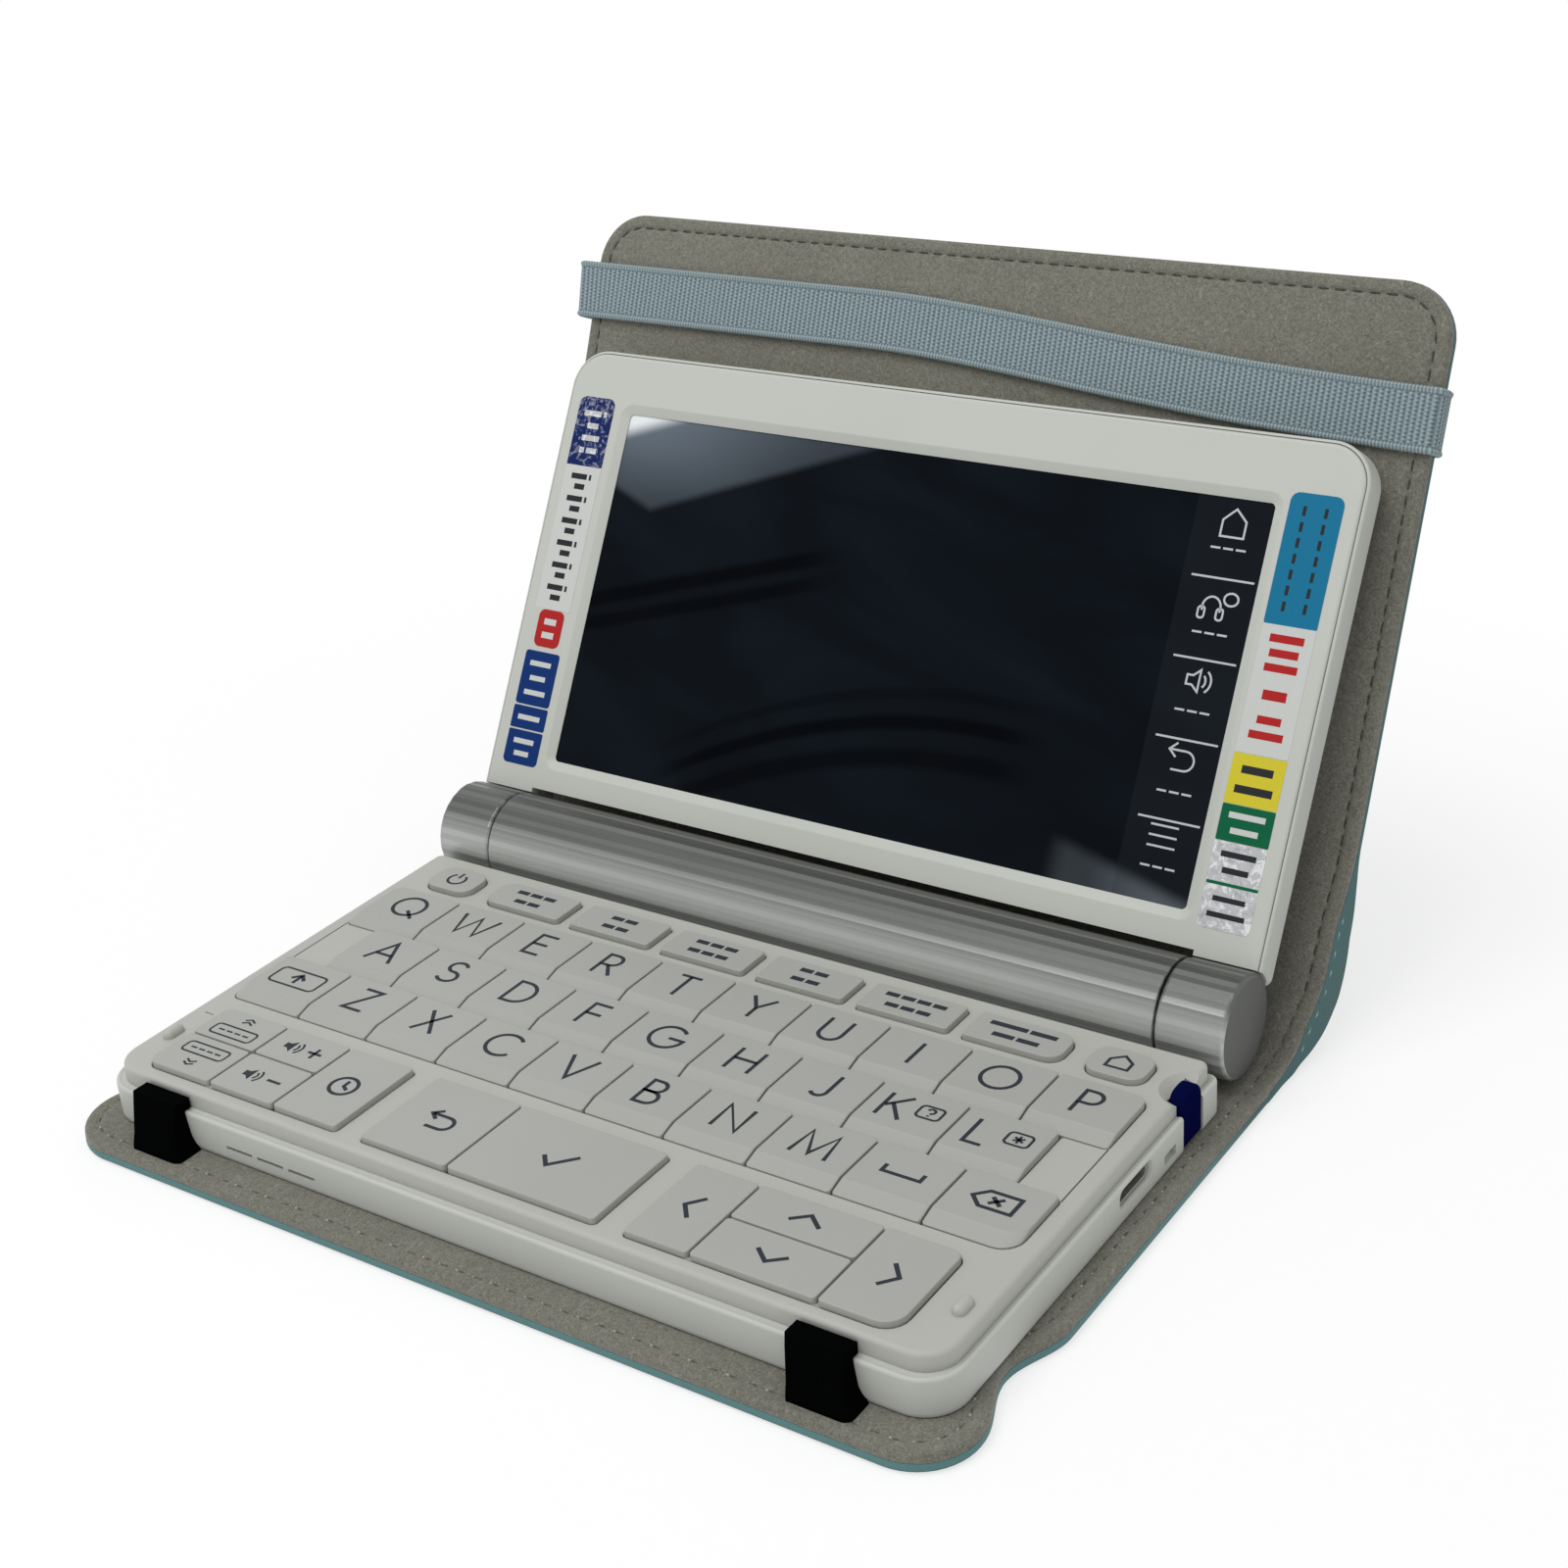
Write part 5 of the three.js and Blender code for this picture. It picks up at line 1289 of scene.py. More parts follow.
FILM_TONES = {
    "white": (194, 197, 193), "navy": (12, 32, 88), "red": (168, 36, 36), "blue": (8, 46, 106),
    "cyan": (22, 110, 146), "yellow": (202, 190, 52), "green": (6, 92, 58), "black": (40, 42, 46),
    "silver": (182, 184, 186),
}
PAINTED_GLINTS = {"navy": 0.3, "silver": 0.85}
FILM = {name: film("film_" + name, srgb(*tone), PAINTED_GLINTS.get(name, 0.0)) for name, tone in FILM_TONES.items()}
label_parts = []


def label(colour, left, low, right_edge, high, radii=0.25, lift=0.05):
    """One block of film on the bezel's face."""
    shape = outline(rectangle(left, low, right_edge, high), radii, 0, 5)
    made = loft("label", [level(shape, w) for w in (BEZEL_FACE - 0.05, BEZEL_FACE + lift)], lid_place)
    label_parts.append(paint(crisp(made), FILM[colour]))


def label_bars(colour, lines, x, v, step, width, lift=0.056):
    """Bars printed on a label, one under the other."""
    drawn = drawing("bars", shifted(bars(lines, step), x, v), lid_place, BEZEL_FACE + lift, width)
    label_parts.append(paint(drawn, FILM[colour]))


print("films:", ", ".join(FILM))

# %% Labels on the left of the bezel
label("navy", -71.1, 66.3, -63.4, 78.6, [0.3, 0.3, 1.4, 1.4])
label("white", -71.1, 40.4, -63.4, 66.3, 0.2)
label("red", -69.8, 33.7, -64.3, 40.3, 1.2, 0.06)
label("blue", -70.9, 23.2, -63.4, 32.8, 0.6)
label("blue", -70.9, 18.9, -63.4, 22.9, 0.3)
label("blue", -70.9, 12.6, -63.4, 18.6, [0.9, 0.9, 0.3, 0.3])
label_bars("silver", [[3.8, 0.6], [2.4], [3.8], [1.0, 2.2]], -67.2, 72.4, 2.2, 1.0)
label_bars("black", [[3.4, 0.5]] * 6, -67.3, 54.4, 4.0, 1.0)
label_bars("black", [[2.2]] * 6, -67.3, 52.6, 4.0, 1.0)
label_bars("white", [[2.6], [2.6]], -67.1, 37.0, 2.4, 1.1, 0.066)
label_bars("white", [[4.6], [3.4], [4.6]], -67.2, 28.0, 2.6, 0.9)
label_bars("white", [[4.8]], -67.2, 20.9, 2.0, 0.9)
label_bars("white", [[4.4], [3.2]], -67.2, 15.6, 2.2, 0.9)
print("left labels:", len(label_parts), "parts")

# %% Labels on the right of the bezel
label("cyan", 62.6, 58.8, 71.0, 78.7, [0.3, 0.3, 1.4, 1.4])
label("white", 62.6, 39.3, 71.0, 58.8, 0.2)
label("yellow", 62.6, 31.6, 71.0, 39.2, 0.2)
label("green", 62.6, 26.0, 71.0, 31.5, 0.2)
label("silver", 62.6, 19.9, 71.0, 25.9, 0.2)
label("silver", 62.6, 12.8, 71.0, 19.4, [1.0, 1.0, 0.2, 0.2])
label("green", 62.7, 19.4, 70.9, 19.9, 0.1)
for x in (65.1, 68.5):
    label_bars("black", [[0.55]] * 7, x, 68.8, 2.4, 1.5)
label_bars("red", [[5.4], [4.6], [5.2]], 66.8, 54.6, 2.2, 1.2)
label_bars("red", [[3.8]], 66.8, 48.3, 2.2, 1.5)
label_bars("red", [[3.8], [5.4]], 66.8, 43.4, 2.3, 1.2)
label_bars("black", [[5.0], [6.0]], 66.8, 35.4, 3.0, 1.2)
label_bars("white", [[5.8], [4.4]], 66.8, 28.8, 2.3, 0.9)
label_bars("black", [[5.6], [4.2]], 66.8, 22.9, 2.4, 0.9)
label_bars("black", [[5.2], [6.0]], 66.8, 16.2, 2.4, 0.8)
labels = join("lid_labels", label_parts)
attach(labels, "lid")
print("labels:", len(labels.data.polygons), "faces")

# %% [markdown]
# ## Case
# The case is a board wrapped in teal leather outside and lined with brushed grey suede inside. The lining
# is thick and soft at its edges, the leather shows as a thin line below it. One outline, open at the fold,
# is moved inward step by step and each step has its own height: this gives the soft edge, the flat top and
# the stitched groove.

# %% Suede and leather
def suede(name, colour, dark):
    """Brushed suede: short fibres (fine noise), nap brushed in patches (wide noise), thin bright hairs."""
    tree = Tree(name)
    nap = tree.noise(22.0, 4.0, 0.6, None, 0.8)
    fibre = tree.noise(3400.0, 3.0, 0.7)
    tuft = tree.noise(1500.0, 3.0, 0.65, None, 0.4)
    hairs = tree.node("ShaderNodeTexNoise", None, {
        "Vector": tree.stretched((900.0, 240.0, 600.0)), "Scale": 1.0, "Detail": 2.0, "Distortion": 1.5})
    light = (nap - 0.5) * 0.26 + (tuft - 0.5) * 0.55 + (fibre - 0.5) * 1.2 + hairs.ramp(0.6, 0.76) * 0.25
    shade = tree.mix(light.ramp(-0.45, 0.5), dark, colour)
    height = fibre * 0.6 + tuft * 0.9
    normal = tree.bump(height, 0.00012, 0.8)
    return tree.finish(shade, 0.95, normal, Specular_IOR_Level=0.08, Sheen_Weight=0.25, Sheen_Roughness=0.5)


def leather(name, colour, pale_edge=0.0):
    """Fine-grained leather: the bump follows the edges of small irregular cells.

    A pale edge makes the leather lighter round the front above its underside, fading towards the fold."""
    tree = Tree(name)
    cells = tree.cells(1500.0, "DISTANCE_TO_EDGE")
    wide = tree.noise(60.0, 3.0)
    fine = tree.noise(2500.0, 2.0)
    shade = tree.mix((wide * 0.6 + fine * 0.4).ramp(0.3, 0.7), toned(colour, 0.78), colour)
    if pale_edge:
        x, y, z = tree.axes()
        at_edge = z.ramp(0.0001, 0.0006) * y.ramp(0.044, 0.02)
        shade = tree.mix(at_edge * pale_edge, shade, srgb(112, 156, 156))
    return tree.finish(shade, 0.5 + 0.15 * wide, tree.bump(cells.ramp(0.0, 0.35), 0.00003, 0.5),
                       Specular_IOR_Level=0.3)


def thread(name, colour):
    """Twisted thread: slanted stripes along the stitch."""
    tree = Tree(name)
    x, y, z = tree.axes()
    twist = ((x + y * 0.7 + z) * 5200.0).sine()
    shade = tree.mix(twist * 0.5 + 0.5, toned(colour, 0.6), colour)
    return tree.finish(shade, 0.8, None, Specular_IOR_Level=0.15)


SUEDE = suede("suede", srgb(139, 138, 127), srgb(84, 83, 75))
TEAL = srgb(50, 95, 97)
LEATHER = leather("teal_leather", TEAL)
BASE_LEATHER = leather("teal_base_leather", TEAL, 0.45)
THREAD = thread("dark_thread", srgb(78, 76, 67))
PALE_THREAD = thread("pale_thread", srgb(150, 180, 178))
SOFT_THREAD = thread("soft_thread", srgb(104, 101, 89))
KNOT_THREAD = thread("knot_thread", srgb(168, 165, 150))
print("case materials:", SUEDE.name, LEATHER.name, BASE_LEATHER.name)

# %% Measures of the case and ways along a line
HALF_BASE, HALF_COVER, CASE_FRONT, CASE_R = 77.6, 79.0, -50.9, 9.0
COVER_TOP, BOARD = 98.85, 3.0
BASE_LINING, COVER_LINING = 1.45, 1.4
BASE_END, COVER_START, OVERLAP = 44.0, 14.0, 0.4
SEAM_IN = -2.35
EDGE = (
    [(0.0, 1.0, 0.0)]
    + [(-0.05 - 0.95 * (1 - np.cos(a)), 0.5 * (1 - np.sin(a)), 0.0) for a in np.linspace(0.12, np.pi / 2, 6)]
    + [(-1.7, 0.0, 0.0), (-1.95, 0.0, 0.2), (-2.15, 0.0, 0.75), (SEAM_IN, 0.0, 1.0), (-2.55, 0.0, 0.75),
       (-2.75, 0.0, 0.2), (-3.0, 0.0, 0.0)]
)


def grown(points, grow):
    """Open line of points moved sideways: p + g m, m = (n1 + n2) / (1 + n1.n2) with the outward normals n."""
    p = np.asarray(points, float)
    ahead = np.diff(p, axis=0)
    ahead /= np.linalg.norm(ahead, axis=1)[:, None]
    normal = np.stack([ahead[:, 1], -ahead[:, 0]], 1)
    first, second = np.vstack([normal[:1], normal]), np.vstack([normal, normal[-1:]])
    return p + grow * (first + second) / (1 + (first * second).sum(1))[:, None]


def run_of(points):
    """Distance along a line at each of its points."""
    return np.concatenate([[0], np.cumsum(np.linalg.norm(np.diff(points, axis=0), axis=1))])


def between(at, known, values):
    """Values or points read off between the known places of a line."""
    if values.ndim == 1:
        return np.interp(at, known, values)
    return np.stack([np.interp(at, known, column) for column in values.T], 1)


def even_line(points, step):
    """Points at even steps along a line."""
    p = np.asarray(points, float)
    run = run_of(p)
    count = max(2, int(round(run[-1] / step)) + 1)
    return between(np.linspace(0, run[-1], count), run, p)


print("the lining's edge has", len(EDGE), "steps; its seam lies", -SEAM_IN, "mm inside")

# %% Outlines of the panels
def base_line(rear):
    """Outline of the base panel from its rear left round the front to its rear right.

    The waist in each side dips by d(y) = 1.6 (1 + cos(pi (y - m) / 11.8)) about its middle m."""
    along = np.linspace(-1, 1, 41)
    dip = 1.6 * (1 + np.cos(np.pi * along))
    waist = np.column_stack([-(HALF_BASE - dip), -30.0 + 11.8 * along])[::-1]
    corner = circle(-HALF_BASE + CASE_R, CASE_FRONT + CASE_R, CASE_R, np.linspace(np.pi, 1.5 * np.pi, 13))
    left = np.vstack([[(-HALF_BASE, rear)], waist, corner[corner[:, 1] < waist[-1, 1] - 0.05]])
    right_side = (left * [-1, 1])[::-1]
    middle = np.column_stack([np.linspace(-60, 60, 9), np.full(9, CASE_FRONT)])
    return np.vstack([left, middle, right_side])


def cover_line(low, high):
    """Outline of the cover from its lower right round the top to its lower left."""
    corner = circle(HALF_COVER - CASE_R, high - CASE_R, CASE_R, np.linspace(0, np.pi / 2, 13))
    right_side = np.vstack([[(HALF_COVER, low)], [(HALF_COVER, (low + high) / 2)], corner])
    middle = np.column_stack([np.linspace(60, -60, 9), np.full(9, high)])
    return np.vstack([right_side, middle, (right_side * [-1, 1])[::-1]])


base_outline = base_line(BASE_END)
cover_outline = cover_line(COVER_START - OVERLAP, COVER_TOP)
print("outline points:", len(base_outline), "round the base and", len(cover_outline), "round the cover")

# %% Flat panels
BASE_GROOVE, COVER_GROOVE = 0.14, 0.3


def panel_skin(name, line, place, top, lining, groove, hide):
    """Leather board and suede lining of a flat panel; heights run down from the lining's top."""
    sides = [(-0.5, BOARD), (-0.18, BOARD - 0.12), (0.0, BOARD - 0.45), (0.06, (BOARD + lining) / 2),
             (0.0, lining + 0.08), (-0.3, lining)]
    board = loft(name + "_leather", [level(grown(line, grow), top - depth) for grow, depth in sides], place)
    suede_skin = loft(name + "_suede", [
        level(grown(line, inset), top - edge * lining - dip * groove) for inset, edge, dip in EDGE], place)
    return paint(crisp(board, 50), hide), paint(crisp(suede_skin, 70, weighted=False), SUEDE)


base_board, base_lining = panel_skin(
    "base", base_outline, world_place, BOARD, BASE_LINING, BASE_GROOVE, BASE_LEATHER)
cover_board, cover_lining = panel_skin(
    "cover", cover_outline, cover_place, 0.0, COVER_LINING, COVER_GROOVE, LEATHER)
print("base lining:", len(base_lining.data.polygons), "faces, cover lining:", len(cover_lining.data.polygons))

# %% [markdown]
# ## Folding back
# The back of the case is a padded leather bulge with the suede running over its inner side. Its section
# lies between an inner line, bent at the two folds, and an outer curve; both are moved sideways by a soft
# offset, so that the lining runs nearly straight into the cover and the padding is thickest at the upper
# fold. Two strips meet in the middle of the back. The width and the lining's thickness change along the
# section too.

# %% Section of the back
COVER_ALONG = np.array([np.cos(COVER_LEAN), np.sin(COVER_LEAN)])
COVER_OUT = np.array([np.sin(COVER_LEAN), -np.cos(COVER_LEAN)])
LOW_FOLD = np.array([52.1, BOARD])
HIGH_FOLD = np.array([FOLD_Y, FOLD_Z])
cover_inner = HIGH_FOLD + COVER_START * COVER_ALONG
cover_outer = cover_inner + BOARD * COVER_OUT
inner_corners = np.array([(BASE_END - OVERLAP, BOARD), LOW_FOLD, HIGH_FOLD, cover_inner])
high_outer = HIGH_FOLD - 0.15 * COVER_ALONG + BOARD * COVER_OUT
low_outer = np.array([52.25, 0.0])
pull = low_outer + (high_outer - low_outer) * [0.95, 0.14]


def bent(corners, radius, steps=7):
    """Open line with its inner corners rounded by arcs of a radius."""
    made = [corners[0]]
    for before, here, after in zip(corners[:-2], corners[1:-1], corners[2:]):
        a = (before - here) / np.linalg.norm(before - here)
        b = (after - here) / np.linalg.norm(after - here)
        half = np.arccos(np.clip(a @ b, -1, 1)) / 2
        reach = radius / np.tan(half)
        for share in np.linspace(0, 1, steps):
            made.append((1 - share) ** 2 * (here + a * reach) + 2 * share * (1 - share) * here
                        + share ** 2 * (here + b * reach))
    return np.array(made + [corners[-1]])


def bezier(t):
    """Quadratic curve (1-t)^2 a + 2 t (1-t) b + t^2 c from the underside to the cover's outer face."""
    t = np.asarray(t)[:, None]
    return (1 - t) ** 2 * low_outer + 2 * t * (1 - t) * pull + t ** 2 * high_outer


def directions_of(line):
    """Unit directions along an open line."""
    slope = np.gradient(line, axis=0)
    return slope / np.linalg.norm(slope, axis=1)[:, None]


def line_normals(line, flip=False):
    """Unit normals of an open line, to its left, or to its right when flipped."""
    slope = directions_of(line)
    normal = np.stack([-slope[:, 1], slope[:, 0]], 1)
    return -normal if flip else normal


def softened(values, reach):
    """Moving average over a number of points, with the ends held."""
    padded = np.concatenate([np.full(reach, values[0]), values, np.full(reach, values[-1])])
    return np.convolve(padded, np.ones(2 * reach + 1) / (2 * reach + 1), "valid")


print("the section runs from", inner_corners[0].tolist(), "to", np.round(cover_inner, 2).tolist())

# %% Inner and outer line of the back
FINE_STEP = 0.05
inner_even = even_line(bent(inner_corners, 4.0), FINE_STEP)
from_fold = np.linspace(inner_corners[0][0] - LOW_FOLD[0], 18.9 + COVER_START, len(inner_even))
inward = softened(np.interp(from_fold, [-8, -4, 0, 5, 9.5, 14, 18.9, 21.5, 24, 28, 31.5],
                            [0, 0.5, 1.5, 1.1, 0.62, 1.35, 2.6, 2.4, 1.6, 0.5, 0]), 30)
inward[-1] = 0.0
inner_even = inner_even + line_normals(inner_even, False) * inward[:, None]
split_at = int(np.argmin(np.abs(from_fold - 9.45)))

share = np.linspace(0, 1, 60)
way = np.concatenate([[-0.4], share, 1 + np.linspace(0.04, 1, 30)])
outer_plain = np.vstack([
    [(BASE_END - OVERLAP, 0.0)], bezier(share),
    high_outer + np.linspace(0.04, 1, 30)[:, None] * (cover_outer - high_outer)])
outward = softened(np.interp(way, [-0.4, 0, 0.06, 0.17, 0.37, 0.58, 0.8, 1.0, 1.3, 1.57, 1.9, 2.0],
                             [0, -0.1, -0.5, 0.1, 1.0, 1.3, 2.1, 2.7, 2.5, 1.5, 0.1, 0]), 3)
outward[[0, -1]] = 0.0
outer_even = outer_plain + line_normals(outer_plain, True) * outward[:, None]
outer_cut = int(np.argmin(np.abs(way - 0.5)))
meet = np.array([inner_even[split_at], outer_even[outer_cut]])
print("the strips meet at", np.round(meet, 2).tolist())

# %% Rows of the two strips
HALF_ROWS = 34


def rows_of(values):
    """Rows at even steps of a line or of values along it."""
    return between(np.linspace(0, len(values) - 1, HALF_ROWS), np.arange(len(values)), values)


sections = {}
for half, part, outside in (("low", slice(0, split_at + 1), slice(0, outer_cut + 1)),
                            ("high", slice(split_at, None), slice(outer_cut, None))):
    place_of = from_fold[part]
    wide = HALF_BASE + (HALF_COVER - HALF_BASE) * np.clip((place_of + 4) / 16, 0, 1)
    lining = np.interp(place_of, [-6, 1, 5, 19, 24, 31], [BASE_LINING, 1.3, 0.7, 0.7, 0.9, COVER_LINING])
    groove = np.interp(place_of, [-6, 4], [BASE_GROOVE, COVER_GROOVE])
    sections[half] = {
        "upper": rows_of(inner_even[part]), "lower": rows_of(even_line(outer_even[outside], FINE_STEP)),
        "half": rows_of(wide), "lining": rows_of(lining),
        "groove": rows_of(groove), "from_fold": rows_of(place_of),
    }
print("rows of each strip:", HALF_ROWS)

# %% Strips of the back
def strip(name, upper, lower, half, lining, groove, across):
    """Closed skin between two lines of the (y, z) plane, ring by ring across x.

    Across gives (side, inset, edge share, groove share, rise), with x = side (half + inset), or x = inset in the
    middle, where side is 0."""
    up_normal, low_normal = line_normals(upper, True), line_normals(lower, False)
    rings = []
    for side, inset, edge, dip, rise in across:
        top = upper + up_normal * (edge * lining + dip * groove)[:, None]
        low = lower + low_normal * rise
        x = side * (half + inset) if side else np.full(len(upper), inset)
        ring = np.vstack([low, top[::-1]])
        rings.append(np.column_stack([np.concatenate([x, x[::-1]]), ring]))
    return loft(name, rings)


def both_sides(steps):
    """Steps (inset, edge, groove, rise) of the left side, the middle, and the same steps of the right side."""
    middle = [(0, x, 0.0, 0.0, 0.0) for x in np.linspace(-70, 70, 9)]
    return [(-1, *step) for step in steps] + middle + [(1, *step) for step in steps[::-1]]


suede_across = both_sides([(inset, edge, dip, 0.0) for inset, edge, dip in EDGE[1:]])
leather_across = both_sides([(0.0, 0.0, 0.0, 0.45), (-0.1, 0.0, 0.0, 0.13), (-0.35, 0.0, 0.0, 0.0)])
fold_pieces = {}
for half, rows in sections.items():
    upper, wide, lining = rows["upper"], rows["half"], rows["lining"]
    under = upper + line_normals(upper, True) * lining[:, None]
    suede_strip = strip("fold_lining_" + half, upper, under, wide, lining, rows["groove"], suede_across)
    bulge = strip("fold_leather_" + half, under, rows["lower"], wide, lining, rows["groove"], leather_across)
    fold_pieces[half] = (paint(crisp(bulge, 50), LEATHER), paint(crisp(suede_strip, 70, weighted=False), SUEDE))
print("fold strips:", {k: [len(p.data.polygons) for p in v] for k, v in fold_pieces.items()})

# %% [markdown]
# ## Stitches
# The seam runs round the lining a little inside its edge. One stitch is a small bead of thread lying in the
# groove, sunk at both ends; the same bead is copied every three millimetres along the line.

# %% Stitches along a line
def stitches(name, middles, directions, ups, length, wide, high, sunk=0.1):
    """Beads of thread: each an ellipsoid (l/2 cos a, w/2 sin a cos b, h sin a sin b) turned along its line."""
    a = np.linspace(0, np.pi, 7)
    b = np.linspace(0, 2 * np.pi, 8, endpoint=False)
    grid_a, grid_b = np.meshgrid(a, b, indexing="ij")
    local = np.stack([
        length / 2 * np.cos(grid_a), wide / 2 * np.sin(grid_a) * np.cos(grid_b),
        high * np.sin(grid_a) * np.sin(grid_b) - sunk], 2).reshape(-1, 3)
    faces = np.array(ring_faces(len(a), len(b)))[:, ::-1]
    sides = np.cross(ups, directions)
    frames = np.stack([directions, sides, ups], 1)
    points = middles[:, None] + np.einsum("pk,nkj->npj", local, frames)
    every = (faces[None] + (np.arange(len(middles)) * len(local))[:, None, None]).reshape(-1, 4)
    made = new_object(name, points.reshape(-1, 3) * MILLI, every.tolist())
    made.data.polygons.foreach_set("use_smooth", np.ones(len(made.data.polygons), bool))
    return made


def seam(name, line, place, height, thread, step=2.7, length=1.95, wide=0.42, high=0.22, start=1.5, rise=1.0):
    """Stitches along an open flat line at a height of a place's frame; a rise of -1 faces them backwards."""
    even = even_line(line, 0.25)
    distance = np.arange(len(even)) * 0.25
    at = np.arange(start, distance[-1] - 0.5, step)
    flat, ahead = between(at, distance, even), between(at + 0.4, distance, even)
    middle = place(level(flat, height)) / MILLI
    direction = place(level(ahead, height)) / MILLI - middle
    direction /= np.linalg.norm(direction, axis=1)[:, None]
    up = place(level(flat, height + rise)) / MILLI - middle
    up /= np.linalg.norm(up, axis=1)[:, None]
    return paint(stitches(name, middle, direction, up, length, wide, high), thread)


base_in, cover_in = grown(base_outline, SEAM_IN), grown(cover_outline, SEAM_IN)
base_seam = seam("base_seam", base_in, world_place, 2.92, SOFT_THREAD, 3.0, 1.5, 0.5, 0.12)
base_knots = seam("base_knots", base_in, world_place, 2.96, KNOT_THREAD, 3.0, 0.5, 0.42, 0.2, 0.7)
cover_seam = seam("cover_seam", cover_in, cover_place, -0.22, THREAD)
back_seam = seam("back_seam", cover_in, cover_place, -2.98, PALE_THREAD, rise=-1.0)
case_base = join("case_base_panel_skin", [base_board, base_lining, base_seam, base_knots])
finished(case_base, "case_base_panel", "case_suede", "base")
case_cover = join("case_back_panel_skin", [cover_board, cover_lining, cover_seam, back_seam])
finished(case_cover, "case_back_panel", "case_suede", "cover")
print("base panel:", len(case_base.data.polygons), "faces, cover panel:", len(case_cover.data.polygons))

# %% Stitches of the folding back
def side_seams(name, rows, step=2.8):
    """Stitches of the seam on the lining, and those on the bulge's side faces where it is thick."""
    upper = rows["upper"]
    run = run_of(upper)
    at = np.arange(1.5, run[-1], step)
    on, along, out = (between(at, run, values) for values in (upper, directions_of(upper), line_normals(upper)))
    half, lining, groove, fold_place = (
        between(at, run, rows[key]) for key in ("half", "lining", "groove", "from_fold"))
    thick = (fold_place > 2.0) & (fold_place < 24.5)
    thread = THREAD if name == "high_seam" else SOFT_THREAD
    made = []
    for side in (-1, 1):
        middle = np.column_stack([side * (half + SEAM_IN), on - out * (groove * 0.75)[:, None]])
        direction, up = upright(along, 0.0), upright(out, 0.0)
        made.append(paint(stitches(name, middle, direction, up, 1.95, 0.42, 0.22), thread))
        if thick.any():
            middle = np.column_stack([side * (half - 0.06), on - out * (lining + 1.7)[:, None]])[thick]
            up = np.tile([float(side), 0.0, 0.0], (int(thick.sum()), 1))
            made.append(paint(stitches(name, middle, direction[thick], up, 1.6, 0.62, 0.3), PALE_THREAD))
    return made + back_seams(name, rows)


def back_seams(name, rows, step=2.7):
    """The same two seams where they come out on the leather outside."""
    lower = rows["lower"]
    run = run_of(lower)
    at = np.arange(1.2, run[-1] - 0.6, step)
    lines = (lower, directions_of(lower), line_normals(lower, True))
    on, along, out = (between(at, run, values) for values in lines)
    half = between(at, run, rows["half"])
    made = []
    for side in (-1, 1):
        middle = np.column_stack([side * (half + SEAM_IN), on])
        beads = stitches(name, middle, upright(along, 0.0), upright(out, 0.0), 1.95, 0.42, 0.22)
        made.append(paint(beads, PALE_THREAD))
    return made


spine_low = join("case_spine_low", [*fold_pieces["low"], *side_seams("low_seam", sections["low"])])
spine_high = join("case_spine_high", [*fold_pieces["high"], *side_seams("high_seam", sections["high"])])


for made, fold, degrees, pair in (
    (spine_low, LOW_FOLD, 23.45, ("base", "spine")),
    (spine_high, HIGH_FOLD, 56.6, ("spine", "cover")),
):
    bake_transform(made)
    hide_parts("case_spine")
print("the folding back has", len(spine_low.data.polygons) + len(spine_high.data.polygons), "faces")

# %% [markdown]
# ## Elastic band
# A flat ribbed ribbon with a corded edge on both sides. Its path runs across the lining, turns round both
# edges of the cover and ends flat behind it, where each tail is tacked down with a row of stitches. The
# ribbon's section, with its thicker edge cords, is carried along the path.

# %% Woven elastic
def elastic_material():
    """Ribbed weave in the ribbon's own coordinates: u along in metres, v across in metres."""
    tree = Tree("elastic_weave")
    place = tree.node("ShaderNodeUVMap", {"uv_map": "ribbon"})
    along, across, _ = tree.axes(place)
    rib = (along * (2 * np.pi / 0.00092)).sine() * 0.5 + 0.5
    knot = (across * (2 * np.pi / 0.00062)).sine() * (along * (np.pi / 0.00092)).sine() * 0.5 + 0.5
    cord = across.absolute().ramp(0.0037, 0.0040)
    small_rib = (along * (2 * np.pi / 0.00056)).sine() * 0.5 + 0.5
    height = (rib * 0.5 + knot * 0.5) * (1.0 - cord) + small_rib * cord
    fuzz = tree.noise(2500.0, 2.0)
    # Colour follows the weave's height: painted shade in the hollows, painted highlights on the raised threads,
    # and random fibre tone.
    tone = height * 0.75 + fuzz * 0.35
    shade = tree.mix(tone.ramp(0.15, 0.95), srgb(80, 96, 103), srgb(152, 168, 173))
    # Painted highlights on the cords' raised ribs.
    shade = tree.mix(cord * (0.3 + 0.35 * small_rib), shade, srgb(168, 185, 188))
    # Painted shade in the grooves beside and between the cords.
    groove_shade = across.absolute().near(0.0039, 0.0002) + across.absolute().near(0.00445, 0.00014) * 0.6
    shade = tree.mix(groove_shade.least(1.0) * 0.5, shade, srgb(74, 92, 100))
    return tree.finish(shade, 0.85, tree.bump(height, 0.0002, 0.9), Specular_IOR_Level=0.15, Sheen_Weight=0.1)


ELASTIC = elastic_material()
print("weave:", ELASTIC.name)

# %% Path of the band
BAND_LEFT_U, BAND_RIGHT_U = 84.7, 79.0


